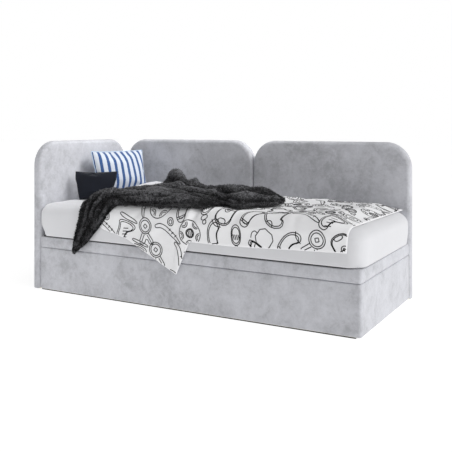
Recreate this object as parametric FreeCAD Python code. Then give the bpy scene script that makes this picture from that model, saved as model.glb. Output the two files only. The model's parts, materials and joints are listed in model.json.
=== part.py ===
import FreeCAD, Part
import math
import os

# A youth single daybed with a lift-up platform over a storage box.
# Millimetres, +Z up. The model is laid out in working axes: X from the headboard's inner
# face towards the foot, Y from the box's front face towards the back, Z up from the box's
# underside. Every solid is then shifted so that the origin is the middle of the whole
# footprint, on the floor.

V = FreeCAD.Vector
UP = V(0, 0, 1)
ALONG_X = V(1, 0, 0)
ALONG_Y = V(0, 1, 0)

# --- Driving dimensions -------------------------------------------------------------------
BOX_LENGTH = 2040
BOX_DEPTH = 850
PANEL_TOP = 902
PANEL_THICKNESS = 60
PANEL_CORNER_RADIUS = 152
PANEL_EDGE_RADIUS = 22
BOX_TOP = 251
PLATFORM_BOTTOM = 255
PLATFORM_TOP = 318
MATTRESS_TOP = 525
MATTRESS_OVERHANG_FOOT = 14
MATTRESS_OVERHANG_FRONT = 10
FRONT_REACH = 36            # how far the hanging blanket stands in front of the box

# --- Upholstery -----------------------------------------------------------------------------
CLOTH = 2                   # velvet, and the thin lining at a panel's back
FOAM = 8                    # foam on the box and the platform's edge
PANEL_BOARD = 25
BOARD_INSET = PANEL_EDGE_RADIUS + CLOTH
BACK_WINDOW = 45            # velvet's return on a panel's back, around the lining
BACK_PANEL_START = 8
BACK_PANEL_GAP = 3
BACK_PANEL_OVERHANG = 9
CORNER_RADIUS = 26          # vertical corner between the front and the foot side

# --- Storage box ------------------------------------------------------------------------------
GLIDE_HEIGHT = 6            # plastic strips under the box's boards, from the floor to Z = 0
GLIDE_WIDTH = 28
GLIDE_SETBACK = 3           # from the box's front, head and back
GLIDE_FOOT_SETBACK = 26     # from its foot side
BOARD = 22
BOX_HEAD_GAP = 7
FRONT_INNER = CLOTH + FOAM + BOARD      # inner face of the front board, along Y
BACK_INNER = BOX_DEPTH - BOARD          # inner face of the back board, along Y
HEAD_INNER = BOX_HEAD_GAP + BOARD
FOOT_OUTER = BOX_LENGTH - CLOTH - FOAM
FOOT_INNER = FOOT_OUTER - BOARD
LEDGE_TOP = 26
LEDGE_WIDTH = 20
FLOOR_SHEET = 4
CORNER_BLOCK = 40
BLOCK_TOP = 240
BOLT_LEVELS = (90, 205)     # heights of the bolts that hold the headboard and the back panels
HEADBOARD_BOLT_Y = (170, 680)
BACK_BOLT_X = (180, 900, 1180, 1880)

# --- Platform -----------------------------------------------------------------------------------
PLATFORM_HEAD_GAP = 8
PLATFORM_BACK_GAP = 6
RAIL_FRONT = 38
RAIL = 30
PLATFORM_BACK = BOX_DEPTH - PLATFORM_BACK_GAP
RAIL_FRONT_INNER = CLOTH + FOAM + RAIL_FRONT
RAIL_BACK_INNER = PLATFORM_BACK - CLOTH - RAIL
RAIL_HEAD_INNER = PLATFORM_HEAD_GAP + CLOTH + RAIL
RAIL_FOOT_INNER = FOOT_OUTER - RAIL_FRONT
SLAT_COUNT = 14
SLAT_WIDTH = 53
SLAT_THICKNESS = 8
SLAT_TOP = PLATFORM_TOP - 1
HOLDER_LENGTH = 30
HOLDER_WIDTH = 63
HOLDER_HEIGHT = 18
SLAT_END_GAP = 4

# --- Lifting mechanism: points in the side view (X, Z), the same on both long sides ----------
PIVOT_A = (508, 114)        # rear link on the box
PIVOT_B = (151, 229)        # rear link on the platform bracket
PIVOT_C = (754, 51)         # front link on the box
PIVOT_D = (259.2, 194.8)    # pin on the platform bracket, in the front link's eye
EYE_D = (262.2, 195.1)      # centre of the front link's wide eye
PIVOT_E = (530.4, 70.5)     # gas strut's cylinder on the box
PIVOT_F = (707.9, 224.6)    # gas strut's rod on the front link's arm
STRUT_LENGTH = 237.2        # between the strut's eyes, closed
STRUT_ANGLE = 41.2          # above the floor, degrees
RUNNING_GAP = 0.08          # radial clearance of a pivot
LINK_RADIUS = 17
PIN_RADIUS = 6
SMALL_PIN_RADIUS = 5
EYE_RADIUS = 9              # wide eye, open for the pin's small drift
EYE_OUTER = 17
STRUT_RADIUS = 11
ROD_RADIUS = 5
STRUT_TUBE_START = 20
STRUT_TUBE_END = 182
ROD_INNER_START = 40
STRUT_EYE_RADIUS = 10
STRUT_EYE_THICKNESS = 8
BOLT_RADIUS = 4
BOLT_HEAD_RADIUS = 8
BOLT_HEAD = 3.5
# layers of the mechanism, counted inwards from the box board's inner face
BASE_LAYER = (0, 4)
REAR_LAYER = (4.5, 9.5)
FRONT_LAYER = (10.1, 15.1)
BRACKET_LAYER = (16, 20)
STRUT_CENTRE = 29
STRUT_EYE = (STRUT_CENTRE - STRUT_EYE_THICKNESS / 2, STRUT_CENTRE + STRUT_EYE_THICKNESS / 2)
PIN_END_GAP = 0.3
# bolts of the base plate and of the platform bracket, and the base plate itself: (X, Z)
PLATE_BOLTS = ((498, 50), (620, 52), (640, 124), (768, 124))
BRACKET_BOLTS = ((230, 277), (310, 277), (385, 277))
BRACKET_BOLT_DEPTH = 24
PLATE_X = (482, 784)
PLATE_Z = (36, 140)
PLATE_CORNER = 12
BRACKET_TOP = 294
BRACKET_STRAP_X = (200, 405)
BRACKET_OUTLINE = ((136, 229), (150, BRACKET_TOP), (405, BRACKET_TOP), (405, 262), (300, 262), (272, 196))
ARM_RADIUS = 14
LOOSE_EYE = 3               # how much wider the strut's upper eye is than its pin

# --- Bedding ------------------------------------------------------------------------------------
SHEET = 2
MATTRESS_HEAD_GAP = 10
MATTRESS_BACK_GAP = 6
MATTRESS_CORNER = 52
MATTRESS_EDGE = 44
SHEET_WINDOW = 120          # the fitted sheet is open under the mattress, inside this margin
DUVET_THICKNESS = 37
DUVET_TOP = MATTRESS_TOP + DUVET_THICKNESS
DUVET_FRONT = -24
DUVET_FLAP_BACK = -12
# outlines seen from above (X, Y), and of the hanging flaps seen from the front (X, Z)
DUVET_PLAN = ((470, DUVET_FRONT), (1976, DUVET_FRONT), (1976, 836), (690, 836), (690, 400), (470, 400))
DUVET_FLAP = ((470, DUVET_TOP), (470, 410), (700, 345), (1030, 186), (1110, 374), (1966, 374),
              (1966, DUVET_TOP))
THROW_THICKNESS = 34
THROW_TOP = DUVET_TOP + THROW_THICKNESS
THROW_PLAN = ((310, -FRONT_REACH), (900, -FRONT_REACH), (1200, 110), (1370, 560), (1300, 700),
              (720, 700), (680, 380), (400, 380), (340, 200))
THROW_FLAP = ((310, THROW_TOP), (262, 420), (258, 300), (284, 226), (330, 270), (430, 345),
              (500, 430), (540, THROW_TOP))
# cushions: width, height, thickness and rim inset; centre; direction of the width in plan
STRIPED_CUSHION = ((412, 285, 110, 60), (165, 592, 683), 76.4)
DARK_CUSHION = ((265, 176, 90, 45), (170, 300, 622), 29.6)
CUSHION_LEAN = 15
PILLOW = (350, 400, 82, 55)
PILLOW_CENTRE = (468, 628, MATTRESS_TOP + 42)

# --- Where the footprint's middle is -----------------------------------------------------------
LOW_X = -PANEL_THICKNESS
HIGH_X = BOX_LENGTH + MATTRESS_OVERHANG_FOOT
LOW_Y = -FRONT_REACH
HIGH_Y = BOX_DEPTH + PANEL_THICKNESS
TO_ORIGIN = V(-(LOW_X + HIGH_X) / 2, -(LOW_Y + HIGH_Y) / 2, GLIDE_HEIGHT)

SIDES = ("front", "back")


def save(name, *solids):
    """Write one node: one solid, or a group of separate identical solids."""
    moved = [piece.translated(TO_ORIGIN) for solid in solids for piece in solid.Solids]
    shape = moved[0] if len(moved) == 1 else Part.makeCompound(moved)
    shape.exportStep(f"parts/{name}.step")


# --- Basic shapes -------------------------------------------------------------------------------
def block(x0, x1, y0, y1, z0, z1):
    return Part.makeBox(x1 - x0, y1 - y0, z1 - z0, V(x0, y0, z0))


def rod_x(y, z, radius, x0, x1):
    return Part.makeCylinder(radius, x1 - x0, V(x0, y, z), ALONG_X)


def rod_y(x, z, radius, y0, y1):
    return Part.makeCylinder(radius, y1 - y0, V(x, y0, z), ALONG_Y)


def cut_all(shape, tools):
    for tool in tools:
        shape = shape.cut(tool)
    return shape


def is_vertical(edge):
    low, high = edge.Vertexes[0].Point, edge.Vertexes[-1].Point
    return abs(low.x - high.x) < 0.01 and abs(low.y - high.y) < 0.01 and abs(low.z - high.z) > 1


def round_vertical(shape, radius, at=None):
    """Round the vertical edges, or only the one that stands at the point (x, y)."""
    edges = [edge for edge in shape.Edges if is_vertical(edge)]
    if at:
        edges = [e for e in edges if (e.Vertexes[0].Point - V(*at, e.Vertexes[0].Z)).Length < 0.01]
    return shape.makeFillet(radius, edges)


def soft_block(x0, x1, y0, y1, z0, z1, corner, edge):
    """A block with round vertical corners and round edges at its top and bottom."""
    shape = round_vertical(block(x0, x1, y0, y1, z0, z1), corner)
    loops = [e for e in shape.Edges if all(abs(v.Z - z0) < 0.01 for v in e.Vertexes)]
    loops += [e for e in shape.Edges if all(abs(v.Z - z1) < 0.01 for v in e.Vertexes)]
    return shape.makeFillet(edge, loops)


def front_corner_block(inset, x0, y1, z0, z1):
    """A block from (x0, inset) to (BOX_LENGTH - inset, y1), round at the front foot corner."""
    x1 = BOX_LENGTH - inset
    corner = (x1, inset)
    return round_vertical(block(x0, x1, inset, y1, z0, z1), CORNER_RADIUS - inset, corner)


def prism(points, direction):
    """Extrude a closed outline of 3-D points."""
    outline = Part.makePolygon([V(*p) for p in points + points[:1]])
    return Part.Face(outline).extrude(direction)


# --- Upholstered panels -------------------------------------------------------------------------
def panel_block(inset, width, y0, y1, edge):
    """A panel that stands on the floor, with two round top corners. X is its width, Y its thickness."""
    left, right, bottom, top = inset, width - inset, inset - GLIDE_HEIGHT, PANEL_TOP - inset
    radius = PANEL_CORNER_RADIUS - inset
    bend = radius * (1 - math.sqrt(0.5))
    bottom_left, bottom_right = V(left, y0, bottom), V(right, y0, bottom)
    side_left, side_right = V(left, y0, top - radius), V(right, y0, top - radius)
    top_left, top_right = V(left + radius, y0, top), V(right - radius, y0, top)
    outline = Part.Wire([
        Part.LineSegment(bottom_left, side_left).toShape(),
        Part.Arc(side_left, V(left + bend, y0, top - bend), top_left).toShape(),
        Part.LineSegment(top_left, top_right).toShape(),
        Part.Arc(top_right, V(right - bend, y0, top - bend), side_right).toShape(),
        Part.LineSegment(side_right, bottom_right).toShape(),
        Part.LineSegment(bottom_right, bottom_left).toShape(),
    ])
    solid = Part.Face(outline).extrude(V(0, y1 - y0, 0))
    if not edge:
        return solid
    rims = []
    for rim in solid.Edges:
        ends = [v.Point for v in rim.Vertexes]
        in_face = abs(ends[0].y - ends[-1].y) < 0.01
        at_bottom = all(abs(p.z - bottom) < 0.01 for p in ends)
        if in_face and not at_bottom:
            rims.append(rim)
    return solid.makeFillet(edge, rims)


def panel_layers(width):
    """Board, foam, velvet and back lining of one panel, front face at Y = 0."""
    back = PANEL_THICKNESS - CLOTH
    outer = panel_block(0, width, 0, PANEL_THICKNESS, PANEL_EDGE_RADIUS)
    inner = panel_block(CLOTH, width, CLOTH, back, PANEL_EDGE_RADIUS - CLOTH)
    board = panel_block(BOARD_INSET, width, back - PANEL_BOARD, back, 0)
    lining = panel_block(BACK_WINDOW, width, back, PANEL_THICKNESS, 0)
    return {
        "board": board,
        "foam": inner.cut(board),
        "cover": outer.cut(inner).cut(lining),
        "back_lining": lining,
    }


def place_panel(layers, place, bolts):
    placed = {}
    for name, shape in layers.items():
        moved = shape.copy()
        moved.Placement = place
        placed[name] = moved if name == "back_lining" else cut_all(moved, bolts)
    return placed


def bolt_x(y, z):
    """A bolt from inside the box through its head board into the headboard."""
    shank_end = -(PANEL_THICKNESS - CLOTH - PANEL_BOARD / 2)
    shank = rod_x(y, z, BOLT_RADIUS, shank_end, HEAD_INNER)
    return shank.fuse(rod_x(y, z, BOLT_HEAD_RADIUS, HEAD_INNER, HEAD_INNER + BOLT_HEAD))


def bolt_y(x, z):
    """A bolt from inside the box through its back board into a back panel."""
    shank_end = BOX_DEPTH + PANEL_THICKNESS - CLOTH - PANEL_BOARD / 2
    shank = rod_y(x, z, BOLT_RADIUS, BACK_INNER, shank_end)
    return shank.fuse(rod_y(x, z, BOLT_HEAD_RADIUS, BACK_INNER - BOLT_HEAD, BACK_INNER))


def panels_and_bolts():
    head_bolts = [bolt_x(y, z) for y in HEADBOARD_BOLT_Y for z in BOLT_LEVELS]
    back_bolts = [bolt_y(x, z) for x in BACK_BOLT_X for z in BOLT_LEVELS]
    save("headboard_bolts", *head_bolts)
    save("back_panel_bolts", *back_bolts)

    turn = FreeCAD.Rotation(UP, 90)
    headboard = place_panel(panel_layers(BOX_DEPTH), FreeCAD.Placement(V(0, 0, 0), turn), head_bolts)
    for layer, shape in headboard.items():
        save(f"headboard_{layer}", shape)

    span = BOX_LENGTH + BACK_PANEL_OVERHANG - BACK_PANEL_START
    width = (span - BACK_PANEL_GAP) / 2
    for number in (1, 2):
        x = BACK_PANEL_START + (number - 1) * (width + BACK_PANEL_GAP)
        place = FreeCAD.Placement(V(x, BOX_DEPTH, 0), FreeCAD.Rotation())
        for layer, shape in place_panel(panel_layers(width), place, back_bolts).items():
            save(f"back_panel_{number}_{layer}", shape)
    return head_bolts, back_bolts


# --- Storage box --------------------------------------------------------------------------------
def storage_box(head_bolts, back_bolts, plate_bolts):
    low, high = 0, BOX_TOP
    front = front_corner_block(CLOTH + FOAM, BOX_HEAD_GAP, FRONT_INNER, low, high)
    foot = block(FOOT_INNER, FOOT_OUTER, FRONT_INNER, BACK_INNER, low, high)
    back = block(BOX_HEAD_GAP, FOOT_OUTER, BACK_INNER, BOX_DEPTH, low, high)
    head = block(BOX_HEAD_GAP, HEAD_INNER, FRONT_INNER, BACK_INNER, low, high)
    save("box_front_board", cut_all(front, plate_bolts["front"]))
    save("box_foot_board", foot)
    save("box_back_board", cut_all(back, back_bolts + plate_bolts["back"]))
    save("box_head_board", cut_all(head, head_bolts))

    skins = [front_corner_block(inset, BOX_HEAD_GAP, BOX_DEPTH, low, high) for inset in (0, CLOTH)]
    core = front_corner_block(CLOTH + FOAM, BOX_HEAD_GAP, BOX_DEPTH, low, high)
    save("box_cover", skins[0].cut(skins[1]))
    save("box_foam", skins[1].cut(core))

    blocks = []
    for x in (HEAD_INNER, FOOT_INNER - CORNER_BLOCK):
        for y in (FRONT_INNER, BACK_INNER - CORNER_BLOCK):
            blocks.append(block(x, x + CORNER_BLOCK, y, y + CORNER_BLOCK,
                                LEDGE_TOP + FLOOR_SHEET, BLOCK_TOP))
    save("corner_blocks", *blocks)


def box_floor():
    middle_x = (HEAD_INNER + FOOT_INNER) / 2
    ledges = [
        block(HEAD_INNER, FOOT_INNER, FRONT_INNER, FRONT_INNER + LEDGE_WIDTH, 0, LEDGE_TOP),
        block(HEAD_INNER, FOOT_INNER, BACK_INNER - LEDGE_WIDTH, BACK_INNER, 0, LEDGE_TOP),
        block(middle_x - LEDGE_WIDTH, middle_x + LEDGE_WIDTH, FRONT_INNER + LEDGE_WIDTH,
              BACK_INNER - LEDGE_WIDTH, 0, LEDGE_TOP),
    ]
    save("floor_battens", *ledges)
    joint_gap = 1
    top = LEDGE_TOP + FLOOR_SHEET
    save("floor_sheets",
         block(HEAD_INNER, middle_x - joint_gap, FRONT_INNER, BACK_INNER, LEDGE_TOP, top),
         block(middle_x + joint_gap, FOOT_INNER, FRONT_INNER, BACK_INNER, LEDGE_TOP, top))
    x0, x1 = BOX_HEAD_GAP + GLIDE_SETBACK, BOX_LENGTH - GLIDE_FOOT_SETBACK
    y0, y1 = GLIDE_SETBACK, BOX_DEPTH - GLIDE_SETBACK
    side_y0, side_y1 = y0 + GLIDE_WIDTH, y1 - GLIDE_WIDTH
    save("glides",
         block(x0, x1, y0, side_y0, -GLIDE_HEIGHT, 0),
         block(x0, x1, side_y1, y1, -GLIDE_HEIGHT, 0),
         block(x0, x0 + GLIDE_WIDTH, side_y0, side_y1, -GLIDE_HEIGHT, 0),
         block(x1 - GLIDE_WIDTH, x1, side_y0, side_y1, -GLIDE_HEIGHT, 0))


# --- Platform -----------------------------------------------------------------------------------
def slat_places():
    first = RAIL_HEAD_INNER + HOLDER_WIDTH
    last = RAIL_FOOT_INNER - HOLDER_WIDTH
    return [first + i * (last - first) / (SLAT_COUNT - 1) for i in range(SLAT_COUNT)]


def platform(bracket_bolts):
    low, high = PLATFORM_BOTTOM, PLATFORM_TOP
    head = PLATFORM_HEAD_GAP
    outer = front_corner_block(0, head, PLATFORM_BACK, low, high)
    lined = front_corner_block(CLOTH, head + CLOTH, PLATFORM_BACK - CLOTH, low, high)
    core = front_corner_block(CLOTH + FOAM, head + CLOTH, PLATFORM_BACK - CLOTH, low, high)
    save("platform_cover", outer.cut(lined))
    save("platform_foam", lined.cut(core))

    rail_start = head + CLOTH
    rail_back = PLATFORM_BACK - CLOTH
    front = front_corner_block(CLOTH + FOAM, rail_start, RAIL_FRONT_INNER, low, high)
    foot = block(RAIL_FOOT_INNER, FOOT_OUTER, RAIL_FRONT_INNER, rail_back, low, high)
    back = block(rail_start, RAIL_FOOT_INNER, RAIL_BACK_INNER, rail_back, low, high)
    head_rail = block(rail_start, RAIL_HEAD_INNER, RAIL_FRONT_INNER, RAIL_BACK_INNER, low, high)
    save("platform_front_rail", cut_all(front, bracket_bolts["front"]))
    save("platform_foot_rail", foot)
    save("platform_back_rail", cut_all(back, bracket_bolts["back"]))
    save("platform_head_rail", head_rail)

    slats = []
    holders = []
    for x in slat_places():
        slat = block(x - SLAT_WIDTH / 2, x + SLAT_WIDTH / 2, RAIL_FRONT_INNER + SLAT_END_GAP,
                     RAIL_BACK_INNER - SLAT_END_GAP, SLAT_TOP - SLAT_THICKNESS, SLAT_TOP)
        slats.append(slat)
        for y in (RAIL_FRONT_INNER, RAIL_BACK_INNER - HOLDER_LENGTH):
            holder = block(x - HOLDER_WIDTH / 2, x + HOLDER_WIDTH / 2, y, y + HOLDER_LENGTH,
                           PLATFORM_TOP - HOLDER_HEIGHT, PLATFORM_TOP)
            holders.append(holder.cut(slat))
    save("slats", *slats)
    save("slat_holders", *holders)


# --- Lifting mechanism --------------------------------------------------------------------------
def stack_y(side, depth):
    return FRONT_INNER + depth if side == "front" else BACK_INNER - depth


def layer_span(side, layer):
    return sorted(stack_y(side, depth) for depth in layer)


def disc(side, point, radius, layer):
    y0, y1 = layer_span(side, layer)
    return rod_y(point[0], point[1], radius, y0, y1)


def bar(side, start, end, radius, layer):
    """A flat bar with round ends between two side-view points."""
    y0, y1 = layer_span(side, layer)
    run = V(end[0] - start[0], 0, end[1] - start[1])
    across = V(-run.z, 0, run.x).normalize() * radius
    a, b = V(start[0], y0, start[1]), V(end[0], y0, end[1])
    strip = prism([tuple(p) for p in (a + across, b + across, b - across, a - across)], V(0, y1 - y0, 0))
    ends = [disc(side, point, radius, layer) for point in (start, end)]
    return strip.fuse(ends).removeSplitter()


def plate_bolt(side, point):
    shank = disc(side, point, BOLT_RADIUS, (-BOARD, BASE_LAYER[1]))
    return shank.fuse(disc(side, point, BOLT_HEAD_RADIUS, (BASE_LAYER[1], BASE_LAYER[1] + BOLT_HEAD)))


def bracket_bolt(side, point):
    shank = disc(side, point, BOLT_RADIUS, (BRACKET_LAYER[0] - BRACKET_BOLT_DEPTH, BRACKET_LAYER[1]))
    head_end = BRACKET_LAYER[1] + BOLT_HEAD
    return shank.fuse(disc(side, point, BOLT_HEAD_RADIUS, (BRACKET_LAYER[1], head_end)))


def rear_link_pin(side):
    """Riveted in the base plate, with its end flush in the link."""
    return disc(side, PIVOT_A, PIN_RADIUS, (BASE_LAYER[0], REAR_LAYER[1]))


def front_link_pin(side):
    """A shouldered pin that carries the front link clear of the rear link's layer."""
    shoulder = disc(side, PIVOT_C, PIN_RADIUS * 2, (BASE_LAYER[1], FRONT_LAYER[0] - PIN_END_GAP))
    shank = disc(side, PIVOT_C, PIN_RADIUS, (BASE_LAYER[0], FRONT_LAYER[1] + PIN_END_GAP))
    head_start = FRONT_LAYER[1] + PIN_END_GAP
    head = disc(side, PIVOT_C, PIN_RADIUS * 2, (head_start, head_start + 2))
    return shank.fuse([shoulder, head])


def strut_pin(side, point, base, shoulder_start):
    """A ball-stud style pin: a shoulder up to the strut's eye, then a shank and a head."""
    shoulder_end = STRUT_EYE[0] - PIN_END_GAP
    shank_end = STRUT_EYE[1] + PIN_END_GAP
    shoulder = disc(side, point, STRUT_EYE_RADIUS - 2, (shoulder_start, shoulder_end))
    shank = disc(side, point, SMALL_PIN_RADIUS, (base, shank_end))
    head = disc(side, point, STRUT_EYE_RADIUS - 2, (shank_end, shank_end + 2))
    return shank.fuse([shoulder, head])


def base_plate(side, fixed):
    y0, y1 = layer_span(side, BASE_LAYER)
    plate = block(*PLATE_X, y0, y1, *PLATE_Z)
    corners = [e for e in plate.Edges if abs(e.Vertexes[0].Y - e.Vertexes[-1].Y) > 1]
    return cut_all(plate.makeFillet(PLATE_CORNER, corners), fixed)


def rear_link(side):
    link = bar(side, PIVOT_A, PIVOT_B, LINK_RADIUS, REAR_LAYER)
    bores = [disc(side, point, PIN_RADIUS + RUNNING_GAP, REAR_LAYER) for point in (PIVOT_A, PIVOT_B)]
    return cut_all(link, bores)


def front_link(side, strut_stud):
    arm = bar(side, PIVOT_C, PIVOT_F, ARM_RADIUS, FRONT_LAYER)
    link = bar(side, PIVOT_C, EYE_D, EYE_OUTER, FRONT_LAYER).fuse(arm).removeSplitter()
    link = link.cut(disc(side, PIVOT_C, PIN_RADIUS + RUNNING_GAP, FRONT_LAYER))
    link = link.cut(disc(side, EYE_D, EYE_RADIUS, FRONT_LAYER))
    return link.cut(strut_stud)


def bracket(side, fixed):
    """A plate on the rail's inner face that reaches down to both platform pivots."""
    y0, y1 = layer_span(side, BRACKET_LAYER)
    web = prism([(x, y0, z) for x, z in BRACKET_OUTLINE], V(0, y1 - y0, 0))
    strap = block(*BRACKET_STRAP_X, y0, y1, PLATFORM_BOTTOM + 2, BRACKET_TOP)
    plate = bar(side, PIVOT_B, PIVOT_D, LINK_RADIUS, BRACKET_LAYER).fuse([web, strap])
    return cut_all(plate.removeSplitter(), fixed)


def bracket_pins(side):
    rear = disc(side, PIVOT_B, PIN_RADIUS, (REAR_LAYER[0], BRACKET_LAYER[1]))
    front = disc(side, PIVOT_D, SMALL_PIN_RADIUS, (FRONT_LAYER[0], BRACKET_LAYER[1]))
    return rear, front


def strut_frame(side):
    """Placement that turns a strut drawn along +X from its lower eye into its place."""
    turn = FreeCAD.Rotation(ALONG_Y, -STRUT_ANGLE)
    return FreeCAD.Placement(V(PIVOT_E[0], stack_y(side, STRUT_CENTRE), PIVOT_E[1]), turn)


def strut_eye(x):
    half = STRUT_EYE_THICKNESS / 2
    return rod_y(x, 0, STRUT_EYE_RADIUS, -half, half)


def strut_bore(x, radius):
    return rod_y(x, 0, radius, -STRUT_RADIUS, STRUT_RADIUS)


def strut_cylinder(side):
    tube = rod_x(0, 0, STRUT_RADIUS, STRUT_TUBE_START, STRUT_TUBE_END)
    neck = rod_x(0, 0, STRUT_EYE_THICKNESS / 2, 0, STRUT_TUBE_START)
    shape = strut_eye(0).fuse([tube, neck])
    shape = shape.cut(strut_bore(0, SMALL_PIN_RADIUS + RUNNING_GAP))
    bore_start = ROD_INNER_START - 2
    shape = shape.cut(rod_x(0, 0, ROD_RADIUS + RUNNING_GAP, bore_start, STRUT_TUBE_END))
    shape.Placement = strut_frame(side)
    return shape


def strut_rod(side):
    """The rod, with a loose upper eye that takes up the linkage's small drift."""
    half = STRUT_EYE_THICKNESS / 2
    neck_start = STRUT_LENGTH - 2 * STRUT_EYE_RADIUS
    shaft = rod_x(0, 0, ROD_RADIUS, ROD_INNER_START, neck_start)
    neck = rod_x(0, 0, half, neck_start, STRUT_LENGTH)
    shape = rod_y(STRUT_LENGTH, 0, STRUT_EYE_RADIUS + LOOSE_EYE, -half, half).fuse([shaft, neck])
    shape = shape.cut(strut_bore(STRUT_LENGTH, SMALL_PIN_RADIUS + LOOSE_EYE))
    shape.Placement = strut_frame(side)
    return shape


def mechanism():
    """Save the links, struts, plates and pins, and give back the bolts that cross the wood."""
    plate_bolts = {side: [plate_bolt(side, p) for p in PLATE_BOLTS] for side in SIDES}
    bracket_bolts = {side: [bracket_bolt(side, p) for p in BRACKET_BOLTS] for side in SIDES}
    base_pins = {
        "rear_link_pins": {side: rear_link_pin(side) for side in SIDES},
        "front_link_pins": {side: front_link_pin(side) for side in SIDES},
        "strut_base_pins": {side: strut_pin(side, PIVOT_E, BASE_LAYER[0], BASE_LAYER[1]) for side in SIDES},
    }
    studs = {side: strut_pin(side, PIVOT_F, FRONT_LAYER[0], FRONT_LAYER[1]) for side in SIDES}
    pins = {side: bracket_pins(side) for side in SIDES}
    for name, pair in base_pins.items():
        save(name, *pair.values())
    save("strut_top_pins", *studs.values())
    save("bracket_pins", *pins["front"], *pins["back"])
    save("base_plate_bolts", *plate_bolts["front"], *plate_bolts["back"])
    save("bracket_bolts", *bracket_bolts["front"], *bracket_bolts["back"])
    for side in SIDES:
        fixed = [pair[side] for pair in base_pins.values()] + plate_bolts[side]
        save(f"base_plate_{side}", base_plate(side, fixed))
        save(f"rear_link_{side}", rear_link(side))
        save(f"front_link_{side}", front_link(side, studs[side]))
        save(f"platform_bracket_{side}", bracket(side, [*pins[side], *bracket_bolts[side]]))
        save(f"strut_cylinder_{side}", strut_cylinder(side))
        save(f"strut_rod_{side}", strut_rod(side))
    return plate_bolts, bracket_bolts


# --- Bedding ------------------------------------------------------------------------------------
def mattress_block(inset):
    return soft_block(MATTRESS_HEAD_GAP + inset, HIGH_X - inset,
                      inset - MATTRESS_OVERHANG_FRONT, BOX_DEPTH - MATTRESS_BACK_GAP - inset,
                      PLATFORM_TOP + inset, MATTRESS_TOP - inset,
                      MATTRESS_CORNER - inset, MATTRESS_EDGE - inset)


def mattress_and_sheet():
    outer = mattress_block(0)
    inner = mattress_block(SHEET)
    window = block(MATTRESS_HEAD_GAP + SHEET_WINDOW, HIGH_X - SHEET_WINDOW,
                   SHEET_WINDOW, BOX_DEPTH - SHEET_WINDOW, PLATFORM_TOP, PLATFORM_TOP + SHEET)
    save("mattress", inner)
    save("fitted_sheet", outer.cut(inner).cut(window))


def duvet():
    """A quilt over the mattress, hanging over the front with one corner lower."""
    slab = prism([(x, y, MATTRESS_TOP) for x, y in DUVET_PLAN], V(0, 0, DUVET_THICKNESS))
    flap = prism([(x, DUVET_FRONT, z) for x, z in DUVET_FLAP], V(0, DUVET_FLAP_BACK - DUVET_FRONT, 0))
    save("duvet", slab.fuse(flap).removeSplitter())


def throw_blanket():
    """A fur throw across the quilt, with one corner hanging over the front."""
    slab = prism([(x, y, DUVET_TOP) for x, y in THROW_PLAN], V(0, 0, THROW_THICKNESS))
    depth = FRONT_REACH + DUVET_FRONT - 0.5
    flap = prism([(x, -FRONT_REACH, z) for x, z in THROW_FLAP], V(0, depth, 0))
    save("throw_blanket", slab.fuse(flap).removeSplitter())


def cushion(width, height, thickness, rim):
    """A filled cushion: a full seam outline in the middle, smaller faces at both sides."""
    sections = []
    for y, inset in ((-thickness / 2, rim), (0, 0), (thickness / 2, rim)):
        w, h = width / 2 - inset, height / 2 - inset
        sections.append(Part.makePolygon([V(-w, y, -h), V(w, y, -h), V(w, y, h), V(-w, y, h), V(-w, y, -h)]))
    return Part.makeLoft(sections, True, True)


def leaning_cushion(size, centre, heading):
    """Turn the cushion's width towards `heading`, a direction in plan, and lean its top back."""
    shape = cushion(*size)
    turn = FreeCAD.Rotation(UP, heading).multiply(FreeCAD.Rotation(ALONG_X, -CUSHION_LEAN))
    shape.Placement = FreeCAD.Placement(V(*centre), turn)
    return shape


def head_end_cushions():
    save("striped_cushion", leaning_cushion(*STRIPED_CUSHION))
    save("dark_cushion", leaning_cushion(*DARK_CUSHION))
    pillow = cushion(*PILLOW)
    pillow.Placement = FreeCAD.Placement(V(*PILLOW_CENTRE), FreeCAD.Rotation(ALONG_X, 90))
    save("pillow", pillow)


def main():
    os.makedirs("parts", exist_ok=True)
    head_bolts, back_bolts = panels_and_bolts()
    plate_bolts, bracket_bolts = mechanism()
    storage_box(head_bolts, back_bolts, plate_bolts)
    box_floor()
    platform(bracket_bolts)
    mattress_and_sheet()
    duvet()
    throw_blanket()
    head_end_cushions()


main()
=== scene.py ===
import json
import math

import bmesh
import bpy
import numpy as np
from mathutils import Matrix, Vector


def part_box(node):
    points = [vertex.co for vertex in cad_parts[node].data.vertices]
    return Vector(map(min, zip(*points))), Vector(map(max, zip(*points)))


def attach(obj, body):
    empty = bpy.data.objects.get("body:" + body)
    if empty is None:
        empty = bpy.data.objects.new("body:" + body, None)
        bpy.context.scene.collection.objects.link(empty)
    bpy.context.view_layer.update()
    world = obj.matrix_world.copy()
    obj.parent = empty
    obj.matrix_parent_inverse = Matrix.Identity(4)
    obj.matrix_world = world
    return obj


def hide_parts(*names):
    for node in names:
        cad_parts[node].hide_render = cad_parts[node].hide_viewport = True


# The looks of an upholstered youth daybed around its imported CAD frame. Metres.
# Working axes, as in the frame's design: x from the headboard's inner face towards the foot,
# y from the box's front face towards the back panels, z up from the box's underside.

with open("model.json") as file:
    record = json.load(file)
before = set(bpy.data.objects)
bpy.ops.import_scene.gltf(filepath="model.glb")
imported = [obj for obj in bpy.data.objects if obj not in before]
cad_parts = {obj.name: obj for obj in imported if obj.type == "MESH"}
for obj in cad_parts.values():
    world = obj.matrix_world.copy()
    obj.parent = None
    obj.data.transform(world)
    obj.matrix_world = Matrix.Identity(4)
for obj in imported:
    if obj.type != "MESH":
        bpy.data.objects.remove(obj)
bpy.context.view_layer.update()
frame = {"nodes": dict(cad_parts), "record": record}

HEAD_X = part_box("headboard_cover")[1].x
FRONT_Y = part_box("box_cover")[0].y
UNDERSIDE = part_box("glides")[1].z
SHIFT = np.array([HEAD_X, FRONT_Y, UNDERSIDE])


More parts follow.
